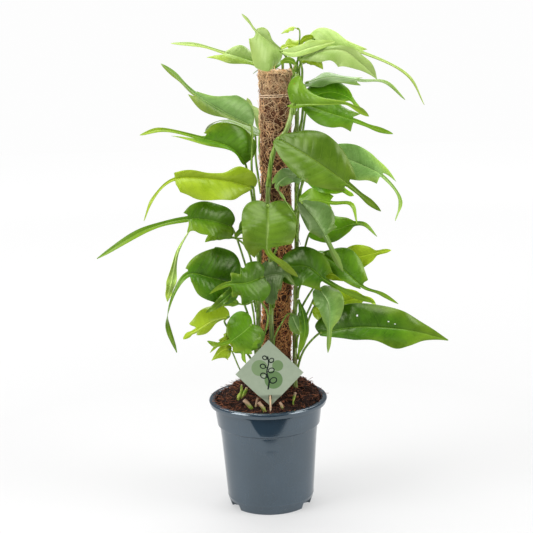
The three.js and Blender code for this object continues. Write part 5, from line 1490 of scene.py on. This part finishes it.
def blade_half(facts, blade, sign, count):
    """One half's vertices in mm, from midrib to edge, and their pattern coordinates."""
    side = blade.left if sign > 0 else blade.right
    point = facts["left_point"] if sign > 0 else facts["right_point"]
    kind = facts["outline"].split("/")[0 if sign > 0 else -1]
    um, ui, vi, ue, ve, strap = (
        c[:, None] for c in fine_rows(kind, point, count).T)
    w = COLUMNS[None, :]
    reach = np.linalg.norm(side)
    u = through_three(um, ui, ue, w)
    v = np.maximum(through_three(0 * ve, vi, ve, w), 0.05 * w * ve)
    even = blade.flat(u) * sign
    share = np.clip((ve - 0.1) * 4, 0, 1)[..., None]
    way = unit(blade.across(side, u) * share + even * (1 - share))
    up = unit(np.cross(blade.tangent(np.maximum(u, 0)), blade.flat(u)))
    ripple = facts["wave"] * v * w * np.sin(EDGE_WAVES * u + (4 if sign > 0 else 1.3))
    bow = facts["bow"] * (0.5 if facts["small"] else 1)
    arch = 4 * w * (1 - w) * bow * ve * reach
    out = v * reach + w * strap * facts["strap"]
    vein_place = um + 0.16 * w**1.4
    swell = np.abs(np.sin(math.pi * SIDE_VEINS * vein_place)) ** 0.7
    broad = np.clip(out / 9, 0, 1) * np.clip((1 - w) * 6, 0, 1) * np.clip((1.02 - um) * 8, 0, 1)
    quilt = QUILT * min(1.0, reach / 38) * swell * broad
    groove = GROOVE * np.exp(-((out / 1.1) ** 2)) * np.clip(2.2 - um, 0, 1)
    places = blade.rib(u) + way * out[..., None]
    places = places + up * (ripple + arch + quilt - groove)[..., None]
    light, young = facts["shade"], facts["young"]
    # The leaf's shade and its half's: partly its own green, partly painted light and shade.
    tone_and_painted_light = light[0] + (light[1] if sign > 0 else light[2]) * np.clip(out / 2, 0, 1)
    tip = np.clip((vein_place - 0.95) * 1.6, 0, 1)
    by_teeth = np.clip((vein_place - 0.62) * 3, 0, 1) * np.clip((w - 0.45) * 2.2, 0, 1)
    side_young = young[1] if sign > 0 else young[2]
    fresh = young[0] * np.maximum(by_teeth, tip) + side_young * np.clip((w - 0.1) * 2.5, 0, 1)
    share = np.broadcast_to(w * sign, out.shape)
    return places, vein_place + 0 * w, out * sign, share, tone_and_painted_light, np.clip(fresh, 0, 1)


def blade_bm(facts, count):
    """The blade as one sheet in m, with its pattern coordinates stored."""
    blade = Blade(facts)
    left = blade_half(facts, blade, 1, count)
    right = blade_half(facts, blade, -1, count)
    sheet = [np.concatenate([a[:, :0:-1], b], axis=1) for a, b in zip(left, right)]
    bm = grid_of(sheet[0] * MM)
    for name, values in zip(("vein", "rib", "share", "tone_and_painted_light", "young"), sheet[1:]):
        layer = bm.verts.layers.float.new(name)
        for vert, value in zip(bm.verts, values.ravel()):
            vert[layer] = value
    return bm


print("side veins:", SIDE_VEINS, "on each half")

# %% Stalk
STALK_R, SEAT = 1.5, 0.35
SHEATH_LENGTH = 24
KNUCKLE, KNUCKLE_FROM_TOP, KNUCKLE_HALF = 0.4, 11, 5


def stalk_curve(facts):
    """The stalk's middle line in m, from the stem's side to the base of the blade."""
    a = math.radians(facts["turn"])
    out = np.array((math.cos(a), math.sin(a), 0.0))
    seat = 0 if facts["grown"] else VINE_R + STALK_R + SEAT
    foot = vine_at(facts["vine"], facts["z"]) + out * (seat - 1.4 if seat else 0)
    knee = vine_at(facts["vine"], facts["z"] + 16) + out * (seat and seat + 2)
    rib = np.array(facts["rib"], float)
    beyond = rib[0] + unit(rib[1] - rib[0]) * 5
    points = [foot, knee, *np.array(facts["via"], float).reshape(-1, 3), rib[0], beyond]
    return curve_through(np.array(points) * MM)


def stalk_radius(length, thick):
    """A stalk's radius: a winged sheath at the foot, a knuckle by the blade, a furrow on top."""
    def radius(t, turn):
        sheath = thick * math.exp(-t * length / SHEATH_LENGTH)
        from_knuckle = (1 - t) * length - KNUCKLE_FROM_TOP
        knuckle = KNUCKLE * math.exp(-(from_knuckle / KNUCKLE_HALF) ** 2)
        end = min(1.0, 0.25 + (1 - t) * length / 5)
        taper = thick - (thick - 1) * t * 0.6
        return (STALK_R * taper + sheath + knuckle) * end * MM * (1 + 0.08 * np.cos(turn))
    return radius


print("the first stalk's foot:", (stalk_curve(LEAVES[0])(0) / MM).round(1))

# %% Leaf in one piece
BLADE_T = 0.6


def leaf_piece(facts, upper, under, slot, nodes):
    """A leaf with its stalk: the blade gets its thickness, then both are one mesh."""
    long_rib = np.linalg.norm(np.diff(np.array(facts["rib"], float), axis=0), axis=1).sum()
    sheet = blade_bm(facts, int(np.clip(long_rib / 2.0, 44, 110)))
    for x, z in PINHOLES.get(facts["name"], []):
        spot = Vector((x * MM, 0, z * MM))
        away = {face: ((face.calc_center_median() - spot) * Vector((1, 0, 1))).length
                for face in sheet.faces}
        hole = min(away, key=away.get)
        bmesh.ops.inset_individual(
            sheet, faces=[hole], thickness=HOLE_MARGIN * MM, use_even_offset=True,
            use_interpolate=True)
        bmesh.ops.delete(sheet, geom=[hole], context="FACES_ONLY")
    blade = with_modifiers(sheet, ("SOLIDIFY", {
        "thickness": BLADE_T * MM, "offset": 0, "use_even_offset": False,
        "material_offset": 1, "material_offset_rim": 0}))
    curve = stalk_curve(facts)
    spots = curve(np.linspace(0, 1, 40))
    length = np.linalg.norm(np.diff(spots, axis=0), axis=1).sum() / MM
    thick = THICK_STALKS.get(facts["name"], STALK_THICK if nodes else SMALL_STALK_THICK)
    stalk = tube(curve, stalk_radius(length, thick), sides=10, steps=int(max(10, length / 4)))
    layer = stalk.verts.layers.float.new("share")
    for vert in stalk.verts:
        vert[layer] = 2.0
    piece = new_piece(facts["name"], joined([blade, stalk]), upper, nodes)
    piece.data.materials.append(under)


print("leaves to make:", len(LEAVES))

# %% [markdown]
# ## Leaf colour
#
# The upper face is waxy. Its green runs from deep in old shaded leaves to yellow-green in young
# ones, and the tones carry painted light and shade too, for how each leaf is turned to the
# lamps: deep is partly painted shade, and grey and pale are painted sheen. The midrib is a fine
# pale line, the side veins are barely paler than the green with painted shade in the groove
# beside each, and between them a painted sheen lies in faint pale streaks that follow the same
# way. The edge is thin and lighter. The under face is paler, greyer and dull. All of it follows
# the blade, so the shader reads what was stored with the mesh: "vein" counts along the side
# veins, "rib" is the distance from the midrib in millimetres, "share" is 1 at the edge,
# "tone_and_painted_light" is the leaf's shade, its own green with painted light and shade, and
# "young" how yellow-green it is there. The stalk stores 2 as its share and takes the stalk's
# colour. LOOKS_LIKE gives three leaves the finish of another tone than the one that they are
# listed under, because beside their neighbours they are paler, greyer or deeper than that; the
# paler and greyer look is partly painted sheen.

# %% Leaf tones
# The tones are partly each leaf's own green and partly painted light: deep is partly painted shade,
# grey and pale are painted sheen.
TONES = {
    "deep": ((38, 76, 4), (84, 134, 16)),
    "mid": ((60, 104, 6), (106, 158, 26)),
    "bright": ((84, 126, 14), (132, 174, 46)),
    "lime": ((124, 154, 8), (168, 194, 44)),
    "grey": ((76, 112, 44), (126, 162, 90)),
    "pale": ((134, 168, 74), (180, 206, 122)),
}
YELLOW_GREEN = (150, 172, 44)
UNDER_GREEN = (128, 156, 92)
STALK_GREEN = ((88, 122, 28), (148, 178, 82))
WAX_TINT = (0.92, 1.0, 0.66, 1.0)
print("tones:", ", ".join(TONES))

# %% Leaf finish
def leaf_finish(name, tone, upper):
    """The waxy upper face, or the dull under face, of leaves of one tone."""
    material, tree, shader = new_finish(name, 0.34 if upper else 0.55, 0.42 if upper else 0.2)
    shader.inputs["Specular Tint"].default_value = WAX_TINT
    here = place_of(tree)
    vein, rib, share = stored(tree, "vein"), stored(tree, "rib"), stored(tree, "share")
    dark, light = (seen(*c) for c in TONES[tone])
    patches = grain(tree, here, 30, 3)
    mottle = grain(tree, here, 520, 4, 0.6)
    way = node(tree, "CombineXYZ", {
        "X": maths(tree, "MULTIPLY", maths(tree, "MINIMUM", vein, 1.0), 34),
        "Y": maths(tree, "MULTIPLY", share, 1.6), "Z": stored(tree, "tone_and_painted_light")}).outputs["Vector"]
    # Painted sheen: faint pale streaks that run along the side veins.
    sheen_streaks = grain(tree, way, 1.0, 3)
    level = maths(tree, "ADD", patches, maths(tree, "MULTIPLY", sheen_streaks, 0.28))
    level = maths(tree, "ADD", level, maths(tree, "MULTIPLY", mottle, 0.34))
    green = blend(tree, ramp(tree, level, 0.4, 1.22), dark, light)
    uneven = ramp(tree, patches, 0.25, 0.6, (0.4, 0.9))
    young = maths(tree, "MULTIPLY", stored(tree, "young"), uneven)
    green = blend(tree, young, green, seen(*YELLOW_GREEN))
    away = maths(tree, "ABSOLUTE", rib)
    from_edge = maths(tree, "ABSOLUTE", share)
    near_vein = maths(tree, "PINGPONG", maths(tree, "MULTIPLY", vein, SIDE_VEINS), 0.5)
    inside = maths(tree, "MULTIPLY", ramp(tree, vein, 0.96, 1.04, (1.0, 0.0)),
                   ramp(tree, from_edge, 0.5, 0.95, (1.0, 0.0)))
    on_vein = maths(tree, "MULTIPLY", ramp(tree, near_vein, 0.0, 0.05, (1.0, 0.0)), inside)
    # Painted shade in the groove beside each side vein.
    groove_shade = maths(tree, "MULTIPLY", ramp(tree, near_vein, 0.05, 0.2, (1.0, 0.0)), inside)
    before_tip = ramp(tree, vein, 1.0, 1.5, (1.0, 0.35))
    on_rib = maths(tree, "MULTIPLY", ramp(tree, away, 0.35, 1.0, (1.0, 0.0)), before_tip)
    on_edge = ramp(tree, from_edge, 0.97, 1.0)
    veins = seen(*(min(255, c + more) for c, more in zip(TONES[tone][1], (44, 38, 30))))
    green = blend(tree, maths(tree, "MULTIPLY", groove_shade, 0.32), green, dark)
    green = blend(tree, maths(tree, "MULTIPLY", on_vein, 0.2), green, veins)
    green = blend(tree, maths(tree, "MULTIPLY", on_rib, 0.6), green, veins)
    green = blend(tree, maths(tree, "MULTIPLY", on_edge, 0.35), green, veins)
    # Each leaf's and each half's shade, partly its own green and partly painted light and shade.
    green = blend(tree, 1.0, green, maths(tree, "POWER", 2.0, stored(tree, "tone_and_painted_light")), "MULTIPLY")
    if upper:
        spots = maths(tree, "MULTIPLY", ramp(tree, grain(tree, here, 85, 2), 0.745, 0.775),
                      ramp(tree, from_edge, 0.6, 0.8, (0.0, 0.7)))
        green = blend(tree, spots, green, seen(132, 98, 40))
    else:
        green = blend(tree, 0.5, green, seen(*UNDER_GREEN))
    stalk = maths(tree, "GREATER_THAN", from_edge, 1.5)
    pale = ramp(tree, grain(tree, place_of(tree, (1, 1, 0.06)), 420, 3), 0.4, 0.66)
    stalk_green = blend(tree, pale, seen(*STALK_GREEN[0]), seen(*STALK_GREEN[1]))
    tree.links.new(blend(tree, stalk, green, stalk_green), shader.inputs["Base Color"])
    wax = ramp(tree, patches, 0.3, 0.7, (0.25, 0.33) if upper else (0.5, 0.6))
    tree.links.new(wax, shader.inputs["Roughness"])
    cells = maths(tree, "ADD", maths(tree, "MULTIPLY", mottle, 0.35),
                  maths(tree, "MULTIPLY", on_vein, -0.6))
    relief(tree, shader, cells, 0.45, 0.0003)
    return material


leaf_finishes = {
    tone: (
        leaf_finish(f"leaf_{tone}_upper", tone, True),
        leaf_finish(f"leaf_{tone}_under", tone, False))
    for tone in TONES
}
print("leaf tones:", len(leaf_finishes))

# %% Leaves
# The pale and grey finishes given here are partly painted sheen.
LOOKS_LIKE = {
    "leaf_06_crown_front": "pale", "leaf_22_right_far": "grey", "leaf_38_low_heart": "mid",
}
for facts in LEAVES:
    upper, under = leaf_finishes[LOOKS_LIKE.get(facts["name"], facts["tone"])]
    leaf_piece(facts, upper, under, "leaf_" + facts["tone"], [facts["name"]])

# %% Stems
rolled_leaf = leaf(
    "rolled_leaf", "lime", "narrow", "vine_front", 668, 90, [[60, -41, 712]],
    [[63, -41, 752], [54, -43, 757], [46, -46, 754], [41, -48, 751], [36, -50, 747]],
    [54, -49, 752], [54, -38, 755], small=True, wave=1, grown=True,
)
for name in VINES:
    new_piece("stem_" + name[5:], stem_bm(name), stem_skin, [name])
leaf_piece(rolled_leaf, *leaf_finishes["lime"], "leaf_lime", [])

# %% [markdown]
# ## Small young leaves
#
# Between the big leaves sit small ones, some curled and some lobed. They are too slight to be
# parts of their own, but without them the crown and the foot of the plant look thin.

# %% Small leaves
SMALL_LEAVES = [
    leaf("small_crown_roll", "lime", "narrow", "vine_front", 650, -20, [[62, -36, 692]],
         [[64, -32, 704], [72, -34, 710], [83, -35, 709], [92, -35, 702], [97, -34, 693]],
         [83, -28, 716], [80, -38, 700], small=True, wave=1, bow=0.5),
    leaf("small_crown_curl", "bright", "narrow", "vine_front", 664, 150, [[57, -44, 694]],
         [[56, -46, 700], [51, -49, 706], [44, -50, 708], [38, -50, 706], [34, -49, 702]],
         [44, -47, 704], [44, -52, 713], small=True, wave=0.5),
    leaf("small_crown_band", "pale", "narrow", "vine_front", 670, 120, [[42, -44, 714]],
         [[33, -50, 722], [52, -56, 719], [80, -60, 726], [98, -62, 730], [114, -63, 733]],
         [72, -56, 733], [72, -62, 716], small=True, wave=1),
    leaf("small_crown_hook", "lime", "narrow", "vine_back_right", 672, -40, [[86, -20, 722]],
         [[86, -36, 737], [79, -39, 741], [71, -40, 739], [65, -40, 733], [62, -39, 727]],
         [72, -38, 735], [73, -42, 744], small=True, wave=0.5),
    leaf("small_left_high", "bright", "narrow", "vine_left", 430, 200, [[-30, -42, 442]],
         [[-46, -48, 444], [-60, -54, 451], [-71, -56, 452], [-80, -58, 448], [-88, -60, 441]],
         [-67, -58, 443], [-67, -52, 458], small=True, wave=1),
    leaf("small_right_lime", "lime", "narrow", "vine_right", 362, -20, [[72, -28, 374]],
         [[88, -38, 378], [98, -42, 382], [108, -44, 381], [118, -45, 377], [128, -44, 371]],
         [108, -38, 389], [107, -48, 373], small=True, wave=1),
    leaf("small_right_grey", "grey", "narrow", "vine_front", 262, -60,
         [[14, -45, 287], [24, -47, 306], [34, -42, 320]],
         [[40, -38, 320], [44, -44, 310], [48, -50, 301], [51, -54, 296], [54, -58, 291]],
         [57, -44, 310], [38, -52, 298], small=True, wave=1),
    leaf("small_low_spoon", "lime", "lance", "vine_left", 208, -120, [[-38, -58, 232]],
         [[-55, -62, 271], [-61, -64, 273], [-69, -66, 271], [-77, -67, 265], [-85, -68, 257]],
         [-64, -70, 256], [-67, -62, 280], small=True, wave=1),
    leaf("small_low_lobed", "bright", "lobed", "vine_left", 240, -60, [[-20, -52, 290]],
         [[-27, -52, 296], [-33, -60, 280], [-36, -64, 262], [-35, -65, 256], [-32, -66, 250]],
         [-10, -60, 276], [-58, -62, 282], small=True, strap=3),
    leaf("small_low_fringe", "lime", "lobed", "vine_left", 262, -150, [[-36, -46, 292]],
         [[-46, -50, 298], [-59, -60, 292], [-73, -67, 283], [-80, -69, 277], [-87, -70, 270]],
         [-55, -68, 272], [-62, -58, 299], small=True, strap=2.4),
    leaf("small_left_inner", "bright", "narrow", "vine_left", 322, -150, [[-30, -44, 338]],
         [[-40, -54, 342], [-46, -58, 346], [-52, -60, 348], [-58, -61, 346], [-65, -62, 341]],
         [-52, -62, 340], [-52, -56, 355], small=True, wave=1),
]
for facts in SMALL_LEAVES:
    leaf_piece(facts, *leaf_finishes[facts["tone"]], "leaf_" + facts["tone"], [])

# %% [markdown]
# ## Cut stubs
#
# The cuttings that the plant was struck from end in short stubs in the soil. The cut has dried
# to a corky tan face and the skin below it is still green. Some lean, one is forked and one is
# a thin sprout, so a cylinder wouldn't do. Each branch is a short tube through three or four
# places, with a radius for each.

# %% Stub skin
stub_skin, tree, shader = new_finish("stub_skin", 0.6, 0.35)
here = place_of(tree)
corky = ramp(tree, grain(tree, here, 240, 5), 0.4, 0.62)
height = node(tree, "SeparateXYZ", {"Vector": here}).outputs["Z"]
green = blend(tree, corky, seen(112, 146, 40), seen(172, 182, 84))
green = blend(tree, stored(tree, "cut"), green, seen(176, 146, 120))
tree.links.new(green, shader.inputs["Base Color"])
relief(tree, shader, corky, 0.4, 0.0005)
print("stub skin:", len(tree.nodes), "nodes")

# %% Stubs
STUBS = {
    "stub_left": [
        [(-46, -34, 178, 3.6), (-45, -34, 187, 4.6), (-42, -33, 193, 3.2), (-41, -31, 206, 1.6)],
        [(-43, -34, 182, 3.6), (-39, -34, 189, 3.8), (-35, -33, 196, 2.9), (-33, -33, 201, 2.5)]],
    "stub_middle": [[(-4, -70, 168, 2.6), (-7, -69, 177, 3.4), (-15, -66, 187, 3.1)]],
    "stub_right": [
        [(41, -58, 170, 1.4), (39, -58, 182, 1.3), (41, -57, 191, 2.5), (43, -57, 198, 2.3)]],
    "stub_slanted": [[(-23, -62, 170, 2.8), (-28, -61, 179, 3.8), (-38, -58, 189, 3.4)]],
    "stub_pale": [[(-20, -61, 172, 1.8), (-18, -60, 184, 2.2), (-16, -60, 192, 2)]],
    "stub_small": [[(24, -68, 168, 2.2), (22, -67, 178, 2.8), (18, -66, 186, 2.4)]],
}
CORKY_LENGTH = {"stub_left": 1, "stub_right": 4, "stub_pale": 16}
USUAL_CORKY_LENGTH = 7
STUB_SHRINK = 0.86


def stub_bm(branches, corky_length):
    """A stub of one or more branches; its ends store how corky they are."""
    parts = []
    for branch in branches:
        line = curve_through(np.array(branch, float))
        top = branch[-1][2] * MM
        bm = tube(lambda t: line(t)[..., :3] * MM,
                  lambda t, turn: line(t)[3] * STUB_SHRINK * MM * (
                      1 + 0.1 * np.sin(3 * turn + 5 * t)),
                  sides=16, steps=16)
        cut = bm.verts.layers.float.new("cut")
        for vert in bm.verts:
            depth = (top - vert.co.z) / MM
            vert[cut] = max(0.0, min(1.0, 1.5 - depth / corky_length))
        parts.append(bm)
    return joined(parts)


for name, branches in STUBS.items():
    nodes = [name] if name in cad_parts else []
    corky_length = CORKY_LENGTH.get(name, USUAL_CORKY_LENGTH)
    new_piece("cut_" + name, stub_bm(branches, corky_length), stub_skin, nodes)

# %% [markdown]
# ## The plant card and its stick
#
# The card is stiff recycled paper with a faint fleck, standing on its corner. A stick holds it:
# it runs up behind the card and comes forward through a slit near the bottom corner, so the
# paper bends back past it. The card is a grid turned to stand on its corner and bent, with the
# slit's faces taken out. Its print is plain: soft green rounds and a sprig of small round
# leaves, drawn as thin ink just proud of the paper.

# %% Card shape
CARD, CARD_T = 75, 0.6
CARD_MID, CARD_LEAN = (3.5, -67.6, 233.5), 4.8
STICK_R, STICK_BEHIND = 1.4, 0.9
BEND_BACK, BEND_FROM, BEND_LENGTH = 4.9, 33, 9
SLIT_W, SLIT_H, SLIT_Z = 4.6, 8, -38
CARD_CELLS = 60
card_place = (
    Matrix.Translation(Vector(CARD_MID) * MM)
    @ Matrix.Rotation(math.radians(-CARD_LEAN), 4, "X")
)


def card_bend(z):
    """How far in mm the paper is bent back, this far above the card's middle."""
    t = min(1.0, max(0.0, (-z - BEND_FROM) / BEND_LENGTH))
    return BEND_BACK * t * t * (3 - 2 * t)


bm = bmesh.new()
bmesh.ops.create_grid(bm, x_segments=CARD_CELLS, y_segments=CARD_CELLS, size=(CARD / 2 - 0.3) * MM)
for turn, axis in ((math.pi / 4, "Z"), (math.pi / 2, "X")):
    bmesh.ops.rotate(bm, verts=bm.verts, cent=(0, 0, 0), matrix=Matrix.Rotation(turn, 3, axis))
for normal, middle, size in (((1, 0, 0), 0, SLIT_W), ((0, 0, 1), SLIT_Z, SLIT_H)):
    for edge in (middle - size / 2, middle + size / 2):
        bmesh.ops.bisect_plane(
            bm, geom=[*bm.verts, *bm.edges, *bm.faces], plane_no=normal,
            plane_co=[side * edge * MM for side in normal])
in_slit = []
for face in bm.faces:
    middle = face.calc_center_median() / MM
    if abs(middle.x) < SLIT_W / 2 and abs(middle.z - SLIT_Z) < SLIT_H / 2:
        in_slit.append(face)
bmesh.ops.delete(bm, geom=in_slit, context="FACES")
for vert in bm.verts:
    vert.co.y = (card_bend(vert.co.z / MM) - CARD_T / 2) * MM
card_bm = with_modifiers(bm, ("SOLIDIFY", {"thickness": CARD_T * MM, "offset": 0}))
bmesh.ops.transform(card_bm, matrix=card_place, verts=card_bm.verts)
print("card faces:", len(card_bm.faces))

# %% Card paper
card_paper, tree, shader = new_finish("card_paper", 0.8, 0.3)
here = place_of(tree)
flecks = ramp(tree, grain(tree, here, 900, 4, 0.7), 0.62, 0.72)
pulp = grain(tree, here, 120, 3)
paper = blend(tree, pulp, seen(146, 159, 137), seen(163, 175, 152))
paper = blend(tree, maths(tree, "MULTIPLY", flecks, 0.5), paper, seen(112, 126, 102))
spot = node(tree, "Mapping", {"Vector": here, "Location": tuple(-c * MM for c in CARD_MID)})
at = node(tree, "SeparateXYZ", {"Vector": spot.outputs["Vector"]}).outputs
ROUNDS = [(-15, 9, 12.5, (116, 142, 96)), (13, 12, 8.5, (98, 130, 76)), (6, -10, 14, (84, 120, 62))]
for x, z, r, colour in ROUNDS:
    dx = maths(tree, "SUBTRACT", at["X"], x * MM)
    dz = maths(tree, "SUBTRACT", at["Z"], z * MM)
    squares = (maths(tree, "POWER", way, 2) for way in (dx, dz))
    far = maths(tree, "SQRT", maths(tree, "ADD", *squares))
    inside = ramp(tree, far, (r - 0.25) * MM, (r + 0.25) * MM, (0.85, 0.0))
    paper = blend(tree, inside, paper, seen(*colour))
tree.links.new(paper, shader.inputs["Base Color"])
relief(tree, shader, pulp, 0.2, 0.0003)
new_piece("plant_card_sheet", card_bm, card_paper, ["plant_card"], smooth=False)

# %% Card print
card_ink, tree, shader = new_finish("card_ink", 0.7, 0.3)
worn = grain(tree, place_of(tree), 700, 3)
two_tone(tree, shader, worn, (0.5, 0.9), (14, 24, 22), (40, 54, 46))
INK_T = 0.12
SPRIG_STEM, SPRIG_STEM_W = [(-3, -25), (-1, -12), (-4, 2), (-1, 16), (-2, 27)], 2.4
SPRIG_LEAVES = [
    (-2, -15, 28), (-2, -7, 152), (-4, 2, 22), (-3.5, 9, 158), (-1.5, 17, 34), (-1.8, 22, 150)]
LOWEST_LEAF, LEAF_W, LINK_W, LEAF_POINTS = 14, 2.0, 1.6, 12


def ink_line(points, width):
    """A flat stroke of ink on the card through points (x, z) in mm from its middle."""
    curve = curve_through([(x, 0, z) for x, z in points])
    t = np.linspace(0, 1, 12 * len(points))
    middle, along = curve(t), unit(curve(t + 1e-3) - curve(t - 1e-3))
    side = np.stack([-along[:, 2], 0 * t, along[:, 0]], axis=1)
    half = width / 2 * (1 - 0.35 * t[:, None])
    places = np.stack([middle - side * half, middle + side * half], axis=1)
    places[..., 1] = [[card_bend(z) - CARD_T - INK_T / 2 for z in pair] for pair in places[..., 2]]
    return grid_of(places * MM)


sprig = [ink_line(SPRIG_STEM, SPRIG_STEM_W)]
for k, (x, z, turn) in enumerate(SPRIG_LEAVES):
    a = math.radians(turn)
    reach = LOWEST_LEAF - k
    oval = []
    for step in range(LEAF_POINTS + 1):
        b = 2 * math.pi * step / LEAF_POINTS + math.pi
        along, aside = reach * (0.62 + 0.38 * math.cos(b)), reach * 0.3 * math.sin(b)
        oval.append((x + along * math.cos(a) - aside * math.sin(a),
                     z + along * math.sin(a) + aside * math.cos(a)))
    sprig.append(ink_line([(x, z), oval[0]], LINK_W))
    sprig.append(ink_line(oval, LEAF_W))
ink_bm = with_modifiers(joined(sprig), ("SOLIDIFY", {"thickness": INK_T * MM, "offset": 0}))
bmesh.ops.transform(ink_bm, matrix=card_place, verts=ink_bm.verts)
new_piece("plant_card_print", ink_bm, card_ink, smooth=False)

# %% Stick
stick_wood, tree, shader = new_finish("stick_wood", 0.7, 0.3)
long_grain = grain(tree, place_of(tree, (1, 1, 0.05)), 800, 5)
two_tone(tree, shader, long_grain, (0.35, 0.7), (222, 184, 142), (244, 218, 184))
relief(tree, shader, long_grain, 0.4, 0.0003)
STICK_LEVELS = (-93.5, -30, 33.5)
ROUNDED_SHARE = 0.015


def stick_radius(t, turn):
    """The stick's radius in m, a little less at its very top."""
    return STICK_R * MM * (1 - 0.25 * max(0.0, t - 1 + ROUNDED_SHARE) / ROUNDED_SHARE)


stick_points = [
    tuple(card_place @ Vector((0, (STICK_R + STICK_BEHIND) * MM, z * MM))) for z in STICK_LEVELS]
stick_bm = tube(curve_through(stick_points), stick_radius, sides=16, steps=80)
new_piece("card_stick_wood", stick_bm, stick_wood, ["card_stick"])
